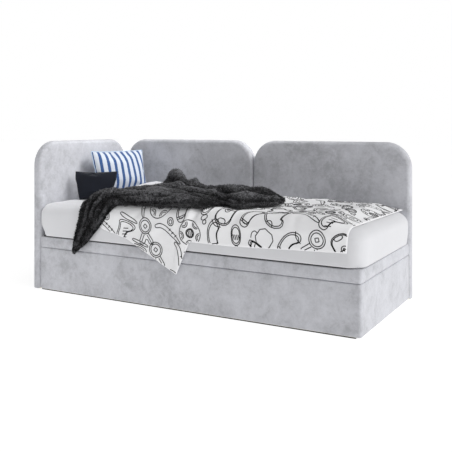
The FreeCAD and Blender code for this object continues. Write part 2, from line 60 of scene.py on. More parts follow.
def working_box(node):
    """A CAD node's box in the working axes: two arrays, low and high."""
    low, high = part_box(node)
    return np.array(low) - SHIFT, np.array(high) - SHIFT


BOX_LOW, BOX_HIGH = working_box("box_cover")
BAND_LOW, BAND_HIGH = working_box("platform_cover")
SHEET_LOW, SHEET_HIGH = working_box("fitted_sheet")
DUVET_LOW, DUVET_HIGH = working_box("duvet")
BOX_LENGTH, BOX_DEPTH = BOX_HIGH[0], BOX_HIGH[1]
MATTRESS_TOP = SHEET_HIGH[2]
VELVET_THICKNESS = 0.0015       # the covers stand this far outside the CAD solids


# --- Camera, light and stage ---
def make_camera():
    data = bpy.data.cameras.new("camera")
    data.lens = 54.9
    data.sensor_width = 36
    data.shift_y = -0.2232
    camera = bpy.data.objects.new("camera", data)
    bpy.context.scene.collection.objects.link(camera)
    camera.location = Vector((1.5134, -1.5312, 0.4912)) * BOX_LENGTH + Vector(SHIFT)
    camera.rotation_euler = (math.radians(90), 0, math.radians(29.6))
    bpy.context.scene.camera = camera


def area_light(name, place, target, size, power, spread=180):
    data = bpy.data.lights.new(name, "AREA")
    data.shape = "DISK"
    data.size = size
    data.energy = power
    data.spread = math.radians(spread)
    light = bpy.data.objects.new(name, data)
    bpy.context.scene.collection.objects.link(light)
    light.location = place
    light.rotation_euler = (Vector(target) - Vector(place)).to_track_quat("-Z", "Y").to_euler()


def make_world():
    """A soft studio surround, brighter towards the foot end and behind the bed, on a white backdrop."""
    world = bpy.data.worlds.new("studio")
    world.use_nodes = True
    nodes, links = world.node_tree.nodes, world.node_tree.links
    direction = nodes.new("ShaderNodeTexCoord").outputs["Generated"]

    def lobe(towards, *stops):
        facing = nodes.new("ShaderNodeVectorMath")
        facing.operation = "DOT_PRODUCT"
        facing.inputs[1].default_value = towards
        links.new(direction, facing.inputs[0])
        ramp = nodes.new("ShaderNodeValToRGB")
        for element, (position, grey) in zip(ramp.color_ramp.elements, stops):
            element.position = position
            element.color = (grey, grey, grey, 1)
        links.new(facing.outputs["Value"], ramp.inputs["Fac"])
        return ramp.outputs["Color"]

    side = lobe((0.5, -0.06, 0.1), (0.0, 0.16), (0.5, 1.25))
    behind = lobe((-0.494, 0.870, 0), (0.80, 0), (0.90, 1))
    both = nodes.new("ShaderNodeMix")
    both.data_type = "RGBA"
    both.blend_type = "LIGHTEN"
    both.inputs["Factor"].default_value = 1
    links.new(side, both.inputs[6])
    links.new(behind, both.inputs[7])
    links.new(both.outputs[2], nodes["Background"].inputs["Color"])
    backdrop = nodes.new("ShaderNodeBackground")
    backdrop.inputs["Color"].default_value = (1, 1, 1, 1)
    seen = nodes.new("ShaderNodeMixShader")
    links.new(nodes.new("ShaderNodeLightPath").outputs["Is Camera Ray"], seen.inputs["Fac"])
    links.new(nodes["Background"].outputs["Background"], seen.inputs[1])
    links.new(backdrop.outputs["Background"], seen.inputs[2])
    links.new(seen.outputs["Shader"], nodes["World Output"].inputs["Surface"])
    bpy.context.scene.world = world


def make_stage():
    size = 30
    corners = [(-size, -size, 0), (size, -size, 0), (size, size, 0), (-size, size, 0)]
    floor = mesh_object("studio_floor", corners, [(0, 1, 2, 3)])
    material = bpy.data.materials.new("studio_floor")
    material.use_nodes = True
    shader = material.node_tree.nodes["Principled BSDF"]
    shader.inputs["Base Color"].default_value = (0.35, 0.35, 0.35, 1)
    shader.inputs["Roughness"].default_value = 0.9
    shader.inputs["Emission Color"].default_value = (1, 1, 1, 1)
    shader.inputs["Emission Strength"].default_value = 0.82
    floor.data.materials.append(material)


# --- Numbers on grids ---
NOISE_SIZE = 32


def value_noise(points, seed):
    """Smooth noise from -1 to 1 at an array of points (..., 3), one cell per unit."""
    table = np.random.RandomState(seed).uniform(-1, 1, (NOISE_SIZE,) * 3)
    cell = np.floor(points).astype(int)
    f = points - cell
    f = f * f * (3 - 2 * f)
    total = np.zeros(points.shape[:-1])
    for corner in np.ndindex(2, 2, 2):
        index = tuple(((cell[..., k] + corner[k]) % NOISE_SIZE) for k in range(3))
        weight = np.prod([f[..., k] if corner[k] else 1 - f[..., k] for k in range(3)], axis=0)
        total += weight * table[index]
    return total


def fractal(points, size, seed, octaves=3, stretch=(1, 1, 1)):
    """Layered noise whose largest blobs measure `size` metres."""
    scaled = np.asarray(points, float) / (np.array(stretch) * size)
    total = np.zeros(scaled.shape[:-1])
    for octave in range(octaves):
        total += value_noise(scaled * 2 ** octave + 7.3 * octave, seed + octave) / 2 ** octave
    return total


def smoothstep(edge0, edge1, x):
    t = np.clip((x - edge0) / (edge1 - edge0), 0, 1)
    return t * t * (3 - 2 * t)


def unit(vectors):
    return vectors / (np.linalg.norm(vectors, axis=-1, keepdims=True) + 1e-12)


def arc(cx, cy, r, start, end, n):
    """n points on a circle, between two angles in degrees."""
    angles = np.radians(np.linspace(start, end, n))
    return np.stack([cx + r * np.cos(angles), cy + r * np.sin(angles)], axis=-1)


def upward_normals(grid):
    """Normals of a grid of points, turned so that the one in its middle points up."""
    normals = unit(np.cross(np.gradient(grid, axis=0), np.gradient(grid, axis=1)))
    middle = normals[len(grid) // 2, grid.shape[1] // 2]
    return normals if middle[2] > 0 else -normals


def bilinear(grid, rows_at, columns_at):
    """Values of a grid between its points, at arrays of row and column numbers."""
    i = np.clip(np.floor(rows_at).astype(int), 0, len(grid) - 2)
    j = np.clip(np.floor(columns_at).astype(int), 0, grid.shape[1] - 2)
    f, g = (rows_at - i)[:, None], (columns_at - j)[:, None]
    return ((1 - f) * (1 - g) * grid[i, j] + f * (1 - g) * grid[i + 1, j]
            + (1 - f) * g * grid[i, j + 1] + f * g * grid[i + 1, j + 1])


# --- Meshes ---
def mesh_object(name, vertices, faces):
    mesh = bpy.data.meshes.new(name)
    mesh.from_pydata([tuple(v) for v in vertices], [], [tuple(f) for f in faces])
    mesh.validate()
    mesh.shade_smooth()
    obj = bpy.data.objects.new(name, mesh)
    bpy.context.scene.collection.objects.link(obj)
    return obj


def grid_faces(rows, columns, start=0, wrap=False):
    """Quads of a rows x columns grid whose points are numbered row by row."""
    across = columns if wrap else columns - 1
    index = start + np.arange(rows * columns).reshape(rows, columns)
    faces = []
    for i in range(rows - 1):
        for j in range(across):
            k = (j + 1) % columns
            faces.append((index[i, j], index[i + 1, j], index[i + 1, k], index[i, k]))
    return faces


def rim(rows, columns, start=0):
    """The numbers of a grid's border points, in order round it."""
    index = start + np.arange(rows * columns).reshape(rows, columns)
    return [*index[0, :-1], *index[:-1, -1], *index[-1, :0:-1], *index[:0:-1, 0]]


def bridge(lower, upper):
    """Quads between two closed rings of point numbers."""
    following = zip(np.roll(lower, -1), np.roll(upper, -1))
    return [(a, b, d, c) for a, b, (c, d) in zip(lower, upper, following)]


def closed_sheet(name, outer, inner):
    """A closed mesh between two grids of the same size, joined round their border."""
    rows, columns = outer.shape[:2]
    count = rows * columns
    vertices = np.concatenate([outer.reshape(-1, 3), inner.reshape(-1, 3)]) + SHIFT
    faces = grid_faces(rows, columns)
    faces += [tuple(reversed(f)) for f in grid_faces(rows, columns, count)]
    border = rim(rows, columns)
    faces += [(a, b, b + count, a + count) for a, b in zip(border, border[1:] + border[:1])]
    obj = mesh_object(name, vertices, faces)
    face_outwards(obj)
    return obj


def face_outwards(obj):
    work = bmesh.new()
    work.from_mesh(obj.data)
    bmesh.ops.recalc_face_normals(work, faces=work.faces)
    work.to_mesh(obj.data)
    work.free()


def apply_modifiers(obj):
    """Replace the object's mesh by what its modifiers make of it."""
    graph = bpy.context.evaluated_depsgraph_get()
    made = bpy.data.meshes.new_from_object(obj.evaluated_get(graph))
    obj.modifiers.clear()
    obj.data = made
    obj.data.shade_smooth()


def subdivide(obj):
    modifier = obj.modifiers.new("subdivide", "SUBSURF")
    modifier.levels = 1
    apply_modifiers(obj)


def thicken(obj):
    """Give a single skin the thickness of upholstery velvet, inwards."""
    modifier = obj.modifiers.new("thicken", "SOLIDIFY")
    modifier.thickness = VELVET_THICKNESS
    modifier.offset = -1
    face_outwards(obj)
    apply_modifiers(obj)


def finish_piece(obj, body, material, slot, *nodes):
    obj.data.materials.clear()
    obj.data.materials.append(material)
    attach(obj, body)
    if nodes:
        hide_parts(*nodes)
    return obj


# --- Materials ---
class Surface:
    """A Principled material with a few helpers for procedural colour and relief."""

    def __init__(self, name, roughness=0.6, metallic=0.0):
        self.material = bpy.data.materials.new(name)
        self.material.use_nodes = True
        self.nodes = self.material.node_tree.nodes
        self.links = self.material.node_tree.links
        self.shader = self.nodes["Principled BSDF"]
        self.shader.inputs["Roughness"].default_value = roughness
        self.shader.inputs["Metallic"].default_value = metallic
        self.coordinates = self.nodes.new("ShaderNodeTexCoord").outputs["Object"]
        self.relief = None

    def set(self, **values):
        for name, value in values.items():
            self.shader.inputs[name.replace("_", " ")].default_value = value

    def mapped(self, scale=(1, 1, 1), turn=(0, 0, 0)):
        mapping = self.nodes.new("ShaderNodeMapping")
        mapping.inputs["Scale"].default_value = scale
        mapping.inputs["Rotation"].default_value = turn
        self.links.new(self.coordinates, mapping.inputs["Vector"])
        return mapping.outputs["Vector"]

    def texture(self, kind, place, **values):
        node = self.nodes.new("ShaderNodeTex" + kind)
        for name, value in values.items():
            node.inputs[name].default_value = value
        self.links.new(place, node.inputs["Vector"])
        return node

    def noise(self, scale, detail=4, roughness=0.5, distortion=0.0, stretch=(1, 1, 1)):
        return self.texture("Noise", self.mapped(stretch), Scale=scale, Detail=detail,
                            Roughness=roughness, Distortion=distortion).outputs["Fac"]

    def wave(self, scale, direction, distortion, turn):
        node = self.texture("Wave", self.mapped(turn=turn), Scale=scale, Distortion=distortion)
        node.bands_direction = direction
        return node.outputs["Fac"]

    def speckle(self, scale, stretch=(1, 1, 1)):
        return self.texture("Voronoi", self.mapped(stretch), Scale=scale).outputs["Distance"]

    def maths(self, operation, a, b):
        node = self.nodes.new("ShaderNodeMath")
        node.operation = operation
        for socket, value in zip(node.inputs, (a, b)):
            if isinstance(value, (int, float)):
                socket.default_value = value
            else:
                self.links.new(value, socket)
        return node.outputs["Value"]

    def blend(self, *parts):
        """The weighted sum of (value, weight) pairs."""
        shares = [self.maths("MULTIPLY", value, weight) for value, weight in parts]
        total = shares[0]
        for share in shares[1:]:
            total = self.maths("ADD", total, share)
        return total

    def ramp(self, factor, *stops):
        """stops: (position, colour) pairs."""
        node = self.nodes.new("ShaderNodeValToRGB")
        node.color_ramp.elements[0].position = stops[0][0]
        node.color_ramp.elements[1].position = stops[-1][0]
        for position, _ in stops[1:-1]:
            node.color_ramp.elements.new(position)
        for element, (_, colour) in zip(node.color_ramp.elements, stops):
            element.color = (*colour, 1)
        self.links.new(factor, node.inputs["Fac"])
        return node.outputs["Color"]

    def mix(self, factor, a, b):
        node = self.nodes.new("ShaderNodeMix")
        node.data_type = "RGBA"
        for socket, value in ((node.inputs["Factor"], factor), (node.inputs[6], a), (node.inputs[7], b)):
            if isinstance(value, (int, float)):
                socket.default_value = value
            elif isinstance(value, tuple):
                socket.default_value = (*value, 1)
            else:
                self.links.new(value, socket)
        return node.outputs[2]

    def colour(self, value):
        self.links.new(value, self.shader.inputs["Base Color"])

    def roughness(self, factor, low, high):
        node = self.nodes.new("ShaderNodeMapRange")
        node.inputs["To Min"].default_value = low
        node.inputs["To Max"].default_value = high
        self.links.new(factor, node.inputs["Value"])
        self.links.new(node.outputs["Result"], self.shader.inputs["Roughness"])

    def bump(self, height, distance, strength=1.0):
        node = self.nodes.new("ShaderNodeBump")
        node.inputs["Distance"].default_value = distance
        node.inputs["Strength"].default_value = strength
        self.links.new(height, node.inputs["Height"])
        if self.relief:
            self.links.new(self.relief, node.inputs["Normal"])
        self.relief = node.outputs["Normal"]
        self.links.new(self.relief, self.shader.inputs["Normal"])


def scaled(colour, factor):
    return tuple(min(1.0, c * factor) for c in colour)


def velvet_material():
    """Short-pile velvet: cloudy patches where the nap lies differently, and fine pile."""
    s = Surface("grey_velvet", 0.8)
    s.set(Sheen_Weight=0.8, Sheen_Roughness=0.38, Sheen_Tint=(0.96, 0.97, 1, 1), Specular_IOR_Level=0.1)
    base = (0.55, 0.555, 0.59)
    clouds = s.noise(3.4, 6, 0.60, 0.7)
    strokes = s.noise(12, 5, 0.62, 0.9)
    flecks = s.noise(58, 5, 0.75, 0.6)
    blend = s.blend((clouds, 0.40), (strokes, 0.32), (flecks, 0.28))
    tone = s.ramp(blend, (0.40, scaled(base, 0.74)), (0.5, base), (0.60, scaled(base, 1.17)))
    pile = s.noise(900, 2, 0.6)
    s.colour(s.mix(s.maths("MULTIPLY", pile, 0.3), tone, scaled(base, 0.75)))
    s.bump(strokes, 0.0015, 0.5)
    s.bump(pile, 0.0006, 0.5)
    return s.material


def woven(name, base, thread, depth, sheen=0.15, uneven=0.05):
    """Plain woven cloth in one colour: two thread directions, slubs and faint unevenness."""
    s = Surface(name, 0.85)
    s.set(Sheen_Weight=sheen, Sheen_Roughness=0.5, Specular_IOR_Level=0.2)
    quarter = math.pi / 4
    warp = s.wave(0.314 / thread, "X", 0.4, turn=(0.2, 0.1, quarter))
    weft = s.wave(0.314 / thread, "Z", 0.4, turn=(0.1, quarter, 0.2))
    threads = s.maths("ADD", warp, weft)
    soft = s.noise(7, 4, 0.55)
    tone = s.ramp(soft, (0.35, scaled(base, 1 - uneven)), (0.65, scaled(base, 1 + uneven)))
    shade = s.maths("MULTIPLY", s.noise(420, 2), 0.12)
    s.colour(s.mix(shade, tone, scaled(base, 0.72)))
    s.bump(threads, depth, 0.35)
    s.bump(s.noise(60, 3, 0.6), 0.0012, 0.25)
    return s


def foam_material():
    s = Surface("foam", 0.95)
    cells = s.speckle(900)
    s.colour(s.ramp(cells, (0.0, (0.62, 0.58, 0.42)), (0.5, (0.85, 0.82, 0.66))))
    s.bump(cells, 0.0006, 0.6)
    return s.material


def board_material():
    """Raw chipboard: pressed flakes in mixed tans."""
    s = Surface("raw_board", 0.8)
    flakes = s.speckle(260, (1, 1, 2.2))
    fine = s.noise(500, 3, 0.6)
    blend = s.blend((flakes, 0.7), (fine, 0.4))
    s.colour(s.ramp(blend, (0.15, (0.33, 0.22, 0.12)), (0.45, (0.56, 0.41, 0.25)), (0.8, (0.74, 0.60, 0.42))))
    s.bump(flakes, 0.0004, 0.5)
    return s.material


def wood_material(name, dark, light, along="X", gloss=0.55):
    """Planed timber with grain running along one axis."""
    s = Surface(name, gloss)
    stretch = {"X": (0.05, 1, 1), "Y": (1, 0.05, 1)}[along]
    rings = s.noise(26, 4, 0.55, 1.0, stretch=stretch)
    fibres = s.noise(420, 3, 0.6, stretch=stretch)
    blend = s.blend((rings, 0.75), (fibres, 0.25))
    s.colour(s.ramp(blend, (0.34, dark), (0.5, scaled(light, 0.86)), (0.66, light)))
    s.roughness(fibres, gloss - 0.08, gloss + 0.12)
    s.bump(fibres, 0.0003, 0.4)
    return s.material


def hardboard_material():
    s = Surface("white_hdf", 0.5)
    haze = s.noise(18, 4, 0.6)
    s.colour(s.ramp(haze, (0.3, (0.74, 0.74, 0.73)), (0.7, (0.84, 0.84, 0.83))))
    s.roughness(haze, 0.42, 0.58)
    s.bump(s.noise(700, 2), 0.00015, 0.4)
    return s.material


def plastic_material():
    s = Surface("black_plastic", 0.5)
    grain = s.noise(900, 2)
    s.colour(s.ramp(s.noise(30, 3), (0.3, (0.018, 0.018, 0.02)), (0.7, (0.032, 0.032, 0.035))))
    s.roughness(grain, 0.4, 0.6)
    s.bump(grain, 0.0002, 0.4)
    return s.material


def painted_steel_material():
    """Black powder coat: orange-peel relief, slightly worn to grey in patches."""
    s = Surface("black_metal", 0.42)
    peel = s.noise(380, 2)
    wear = s.noise(60, 5, 0.7)
    s.colour(s.ramp(wear, (0.3, (0.018, 0.018, 0.02)), (0.72, (0.03, 0.03, 0.033)),
                    (0.82, (0.12, 0.12, 0.12))))
    s.roughness(wear, 0.34, 0.52)
    s.bump(peel, 0.0002, 0.5)
    return s.material


def bright_steel_material(name, tone, low, high, brushed=0.0):
    s = Surface(name, low, 1.0)
    haze = s.noise(45, 4, 0.6, stretch=(1, 1, 6))
    s.colour(s.ramp(haze, (0.3, scaled(tone, 0.82)), (0.7, tone)))
    s.roughness(haze, low, high)
    s.bump(s.noise(800, 2, stretch=(1, 1, 8)), 0.0001, 0.15 + brushed)
    return s.material


def lining_material():
    """Black non-woven cloth: random fibres with a dotted bond pattern."""
    s = Surface("back_lining", 0.95)
    fibres = s.noise(700, 3, 0.7)
    dots = s.speckle(330)
    s.colour(s.ramp(fibres, (0.35, (0.02, 0.02, 0.022)), (0.65, (0.06, 0.06, 0.065))))
    s.bump(dots, 0.0005, 0.5)
    s.bump(s.noise(9, 3), 0.004, 0.4)
    return s.material


def fur_material():
    """Dark long-pile fur: clumps of lighter and darker hair, with painted shade in the folds and painted
    highlight on the ridges, read from a mesh attribute.
    """
    s = Surface("black_fur", 0.75)
    s.set(Sheen_Weight=0.08, Sheen_Roughness=0.45, Specular_IOR_Level=0.15)
    clumps = s.noise(50, 5, 0.7, 1.0)
    hairs = s.noise(120, 4, 0.75, stretch=(1, 1, 0.6))
    blend = s.blend((clumps, 0.75), (hairs, 0.75))
    # Painted shade and painted highlight: the mesh attribute read here darkens the fur in its folds and
    # lightens its ridges.
    height = s.nodes.new("ShaderNodeAttribute")
    height.attribute_name = "painted_shade_and_patches"
    blend = s.maths("ADD", s.maths("SUBTRACT", blend, 0.46), s.maths("MULTIPLY", height.outputs["Fac"], 0.5))
    s.colour(s.ramp(blend, (0.33, (0.0006, 0.0006, 0.0008)), (0.45, (0.007, 0.007, 0.008)),
                    (0.55, (0.03, 0.03, 0.032)), (0.76, (0.16, 0.16, 0.17))))
    s.bump(hairs, 0.003, 0.7)
    return s.material


def striped_material(stripes, width):
    """White cloth with blue stripes that run up the cushion, from its own flat coordinates."""
    s = woven("striped_cloth", (0.61, 0.65, 0.71), 0.0012, 0.0003, uneven=0.03)
    base = s.shader.inputs["Base Color"].links[0].from_socket
    flat = s.nodes.new("ShaderNodeUVMap")
    flat.uv_map = "flat"
    split = s.nodes.new("ShaderNodeSeparateXYZ")
    s.links.new(flat.outputs["UV"], split.inputs["Vector"])
    phase = s.maths("FRACT", s.maths("MULTIPLY", split.outputs["X"], stripes / width), 0)
    wobble = s.maths("MULTIPLY", s.maths("SUBTRACT", s.noise(160, 2), 0.5), 0.09)
    distance = s.maths("ABSOLUTE", s.maths("SUBTRACT", s.maths("ADD", phase, wobble), 0.5), 0)
    stripe = s.ramp(distance, (0.195, (1, 1, 1)), (0.225, (0, 0, 0)))
    thread = s.ramp(s.noise(300, 3), (0.35, (0.028, 0.072, 0.21)), (0.65, (0.052, 0.115, 0.29)))
    s.colour(s.mix(stripe, base, thread))
    return s.material


# --- Upholstered panels ---
def rounded_outline(width, height, inset, radii, counts):
    """Four sides of an outline with round corners, each an array of (across, up) points.
    radii: lower left, lower right, upper right and upper left. The sides meet on the middles
    of the corners, so a patch between them stays even."""
    left, right, low, high = inset, width - inset, inset, height - inset
    r_bl, r_br, r_tr, r_tl = (max(r - inset, 0.004) for r in radii)
    n_across, n_up = counts

    def side(first, last, n):
        """Half an arc, a straight run and half an arc, in n points."""
        n_arc = max(6, n // 7)
        a, b = arc(*first, n_arc), arc(*last, n_arc)
        run = np.linspace(a[-1], b[0], n - 2 * n_arc + 2)[1:-1]
        return np.concatenate([a, run, b])

    bl, br = (left + r_bl, low + r_bl, r_bl), (right - r_br, low + r_br, r_br)
    tl, tr = (left + r_tl, high - r_tl, r_tl), (right - r_tr, high - r_tr, r_tr)
    bottom = side((*bl, 225, 270), (*br, 270, 315), n_across)
    right_side = side((*br, 315, 360), (*tr, 0, 45), n_up)
    top = side((*tl, 135, 90), (*tr, 90, 45), n_across)
    left_side = side((*bl, 225, 180), (*tl, 180, 135), n_up)
    return bottom, right_side, top, left_side


def coons(bottom, right, top, left):
    """A grid of points that fills four meeting sides: rows go up, columns across."""
    u = np.linspace(0, 1, len(bottom))[None, :, None]
    v = np.linspace(0, 1, len(left))[:, None, None]
    across = (1 - u) * left[:, None] + u * right[:, None]
    upward = (1 - v) * bottom[None] + v * top[None]
    corners = ((1 - u) * (1 - v) * bottom[0] + u * (1 - v) * bottom[-1]
               + (1 - u) * v * top[0] + u * v * top[-1])
    return across + upward - corners


def ring(sides):
    bottom, right, top, left = sides
    return np.concatenate([bottom[:-1], right[:-1], top[:0:-1], left[:0:-1]])


def rounding(radius, level, towards, n, start=0, end=90):
    """(inset, height) pairs round an edge. level: where its flat side lies. towards: 1 if the body
    is above that, -1 if it is below."""
    return [(radius * (1 - math.sin(a)), level + towards * radius * (1 - math.cos(a)))
            for a in np.radians(np.linspace(start, end, n))]


def panel_profile(thickness, front_radius, back_radius, window):
    """(inset, depth) from the back lining's edge round to the front face."""
    points = [(window, thickness), ((window + back_radius) / 2, thickness)]
    points += rounding(back_radius, thickness, -1, 7)
    points.append((0, thickness * 0.56))
    return points + rounding(front_radius, 0, 1, 12, 90, 0)


def upholstered_panel(name, node, to_world):
    """A velvet cover with a soft crowned face. to_world maps (across, depth, up) arrays."""
    low, high = working_box(node)
    thickness, width = sorted((high - low)[:2])
    height = high[2] - low[2]
    radii, front_radius, back_radius, window = (0.006, 0.006, 0.152, 0.152), 0.024, 0.014, 0.046
    counts = (110, 96)
    rings = []
    for inset, depth in panel_profile(thickness, front_radius, back_radius, window):
        outline = ring(rounded_outline(width, height, inset, radii, counts))
        rings.append(np.column_stack([outline[:, 0], np.full(len(outline), depth), outline[:, 1]]))
    inner = coons(*rounded_outline(width, height, front_radius, radii, counts))
    face = np.stack([inner[..., 0], np.zeros(inner.shape[:2]), inner[..., 1]], axis=-1)
    border = np.minimum(np.minimum(face[..., 0], width - face[..., 0]),
                        np.minimum(face[..., 2], height - face[..., 2]))
    sunk = 0.0035 * np.exp(-np.maximum(border - front_radius, 0) / 0.05)
    soft = 0.0012 * fractal(face, 0.16, 11, 2) * smoothstep(front_radius, 0.09, border)
    face[..., 1] += sunk - sunk.max() + soft
    rows, columns = face.shape[:2]
    ring_count = len(rings[0])
    vertices = np.concatenate(rings[:-1] + [face.reshape(-1, 3)])
    faces = grid_faces(len(rings) - 1, ring_count, 0, wrap=True)
    start = (len(rings) - 1) * ring_count
    faces += bridge(range(start - ring_count, start), rim(rows, columns, start))
    faces += grid_faces(rows, columns, start)
    obj = mesh_object(name, to_world(vertices), faces)
    thicken(obj)
    finish_piece(obj, "frame", VELVET, "grey_velvet", node)


def make_panels():
    def headboard_place(v):
        return np.column_stack([-v[:, 1], v[:, 0], v[:, 2] - UNDERSIDE]) + SHIFT

    upholstered_panel("headboard_upholstery", "headboard_cover", headboard_place)
    for number in (1, 2):
        node = f"back_panel_{number}_cover"
        low, _ = working_box(node)

        def panel_place(v, low=low):
            return np.column_stack([v[:, 0] + low[0], v[:, 1] + low[1], v[:, 2] - UNDERSIDE]) + SHIFT

        upholstered_panel(f"back_panel_{number}_upholstery", node, panel_place)


def make_staples():
    """Steel staples round the edge of each back lining."""
    spacing, from_edge, radii = 0.055, 0.007, (0.004, 0.004, 0.107, 0.107)
    half = np.array([0.0055, 0.0005, 0.0006])
    corners = np.array([[a, b, c] for a in (-1, 1) for b in (-1, 1) for c in (-1, 1)]) * half
    box = [(0, 1, 3, 2), (4, 6, 7, 5), (0, 4, 5, 1), (2, 3, 7, 6), (0, 2, 6, 4), (1, 5, 7, 3)]
    vertices, faces = [], []
    for panel in ("headboard", "back_panel_1", "back_panel_2"):
        low, high = working_box(f"{panel}_back_lining")
        across = np.array([0, 1, 0]) if panel == "headboard" else np.array([1, 0, 0])
        corner = low if panel == "headboard" else np.array([low[0], high[1], low[2]])
        outwards = np.cross(across, (0, 0, -1)) if panel == "headboard" else np.cross((0, 0, 1), across)
        size = high - low
        outline = ring(rounded_outline(size @ across, size[2], from_edge, radii, (40, 40)))
        line = resample(np.concatenate([outline, outline[:1]]), spacing)
        for point, after in zip(line[:-1], line[1:]):
            along = (after - point) / np.linalg.norm(after - point)
            tangent = across * along[0] + np.array([0, 0, along[1]])
            middle = corner + across * point[0] + np.array([0, 0, point[1]])
            axes = np.array([tangent, np.cross(outwards, tangent), outwards])
            faces.extend(tuple(len(vertices) + i for i in face) for face in box)
            vertices.extend(middle + corners @ axes)
    staples = mesh_object("lining_staples", np.array(vertices) + SHIFT, faces)
    staples.data.shade_flat()
    face_outwards(staples)
    finish_piece(staples, "frame", ZINC, "zinc_steel")


# --- Upholstery of the box and of the platform's edge ---
def plan_path(points, radii, closed):
    """A path in plan with round corners: arrays of places and outward normals.
    The path runs anticlockwise seen from above, so outwards is to its right."""
    spacing = 0.02
    points = [np.array(p, float) for p in points]
    count = len(points)
    places, normals = [], []

    def straight(a, b):
        steps = max(2, int(np.linalg.norm(b - a) / spacing) + 1)
        direction = (b - a) / np.linalg.norm(b - a)
        outward = np.array([direction[1], -direction[0]])
        for t in np.linspace(0, 1, steps)[:-1]:
            places.append(a + (b - a) * t)
            normals.append(outward)

    here = None if closed else points[0]
    order = range(count) if closed else range(1, count - 1)
    first = None
    for i in order:
        corner, before, after = points[i], points[i - 1], points[(i + 1) % count]
        d_in = (corner - before) / np.linalg.norm(corner - before)
        d_out = (after - corner) / np.linalg.norm(after - corner)
        r = radii[i]
        start, end = corner - d_in * r, corner + d_out * r
        if here is not None:
            straight(here, start)
        else:
            first = start
        centre = start + np.array([-d_in[1], d_in[0]]) * r
        angle0 = math.atan2(*(start - centre)[::-1])
        for a in np.linspace(0, math.pi / 2, 9)[:-1]:
            n = np.array([math.cos(angle0 + a), math.sin(angle0 + a)])
            places.append(centre + n * r)
            normals.append(n)
        here = end
    if closed:
        straight(here, first)
    else:
        straight(here, points[-1])
        places.append(points[-1])
        normals.append(normals[-1])
    return np.array(places), np.array(normals)


def wrapped_cover(name, path, closed, profile, node, body, seed):
    """Velvet pulled round a path: profile is a list of (inset, height)."""
    places, normals = path
    rows = []
    for inset, height in profile:
        flat = places - normals * inset
        rows.append(np.column_stack([flat, np.full(len(flat), height)]))
    grid = np.array(rows)
    face = (np.array([i for i, _ in profile]) < 0.004).astype(float)[:, None]
    pull = 0.0012 * np.abs(fractal(grid, 0.11, seed, 3)) * face
    pull += 0.0006 * np.abs(fractal(grid, 0.03, seed + 5, 2, stretch=(1, 1, 3))) * face
    grid[..., :2] += normals[None] * pull[..., None]
    vertices = grid.reshape(-1, 3) + SHIFT
    obj = mesh_object(name, vertices, grid_faces(len(profile), len(places), 0, closed))
    thicken(obj)
    finish_piece(obj, body, VELVET, "grey_velvet", node)


def rounded_profile(low, high, low_return, high_return, low_radius, high_radius, crown, inner_drop=0.0):
    """Heights and insets of a padded edge: a return under it, a crowned face, a return on top."""
    points = [(low_return, low), ((low_return + low_radius) / 2, low)]
    points += rounding(low_radius, low, 1, 7)
    for t in np.linspace(0, 1, 12)[1:-1]:
        z = low + low_radius + (high - high_radius - low - low_radius) * t
        points.append((-crown * math.sin(math.pi * t), z))
    points += rounding(high_radius, high, -1, 7, 90, 0)
    points.append((high_return * 0.6, high))
    points.append((high_return, high - 0.0005))
    if inner_drop:
        points.append((high_return + 0.001, high - inner_drop))
    return points


def make_box_covers():
    inset = -0.0015
    path = plan_path([(BOX_LOW[0], 0.034), (BOX_LOW[0], inset), (BOX_LENGTH - inset, inset),
                      (BOX_LENGTH - inset, BOX_DEPTH)], [0, 0.004, 0.013, 0], False)
    board_wrap = 0.0345
    profile = rounded_profile(BOX_LOW[2] - 0.0005, BOX_HIGH[2] + 0.0015, 0.022, board_wrap, 0.008, 0.008,
                              0.0015, inner_drop=0.010)
    wrapped_cover("box_upholstery", path, False, profile, "box_cover", "frame", 21)

    low, high = BAND_LOW, BAND_HIGH
    corners = [(low[0], inset), (high[0] - inset, inset), (high[0] - inset, high[1]), (low[0], high[1])]
    path = plan_path(corners, [0.006, 0.013, 0.006, 0.006], True)
    profile = rounded_profile(low[2] - 0.001, high[2] + 0.0015, 0.045, 0.046, 0.007, 0.008, 0.0025)
    wrapped_cover("platform_upholstery", path, True, profile, "platform_cover", "platform", 31)


# --- Mattress and fitted sheet ---
def soft_slab(name, low, high, radii, top_radius, bottom_radius, crown, seed):
    """A closed mattress shape: round plan corners, soft edges, bulging sides and top."""
    width, depth = high[0] - low[0], high[1] - low[1]
    height = high[2] - low[2]
    counts = (150, 70)
    profile = [(bottom_radius + 0.02, 0.0)]
    profile += rounding(bottom_radius, 0, 1, 9)
    for t in np.linspace(0, 1, 14)[1:-1]:
        profile.append((0.0, bottom_radius + (height - top_radius - bottom_radius) * t))
    profile += rounding(top_radius, height, -1, 15, 90, 0)
    rings = []
    for inset, z in profile:
        outline = ring(rounded_outline(width, depth, inset, radii, counts))
        rings.append(np.column_stack([outline, np.full(len(outline), z)]))
    top = coons(*rounded_outline(width, depth, top_radius, radii, counts))
    base = coons(*rounded_outline(width, depth, bottom_radius + 0.02, radii, counts))
    top = np.dstack([top, np.full(top.shape[:2], height)])
    base = np.dstack([base, np.zeros(base.shape[:2])])
    rows, columns = top.shape[:2]
    count = len(rings[0])
    body = np.array(rings[1:-1])
    vertices = np.concatenate([base.reshape(-1, 3), body.reshape(-1, 3), top.reshape(-1, 3)])
    start_body = rows * columns
    start_top = start_body + len(body) * count
    faces = [tuple(reversed(f)) for f in grid_faces(rows, columns)]
    faces += grid_faces(len(body), count, start_body, wrap=True)
    faces += grid_faces(rows, columns, start_top)
    faces += bridge(rim(rows, columns), range(start_body, start_body + count))
    faces += bridge(range(start_top - count, start_top), rim(rows, columns, start_top))
    vertices = vertices + low
    bulge_sides(vertices, low, high, crown, seed)
    obj = mesh_object(name, vertices + SHIFT, faces)
    face_outwards(obj)
    return obj


def foot_drop(x):
    """How far the mattress' top falls towards its foot end."""
    return 0.020 * smoothstep(SHEET_HIGH[0] - 0.20, SHEET_HIGH[0], x)


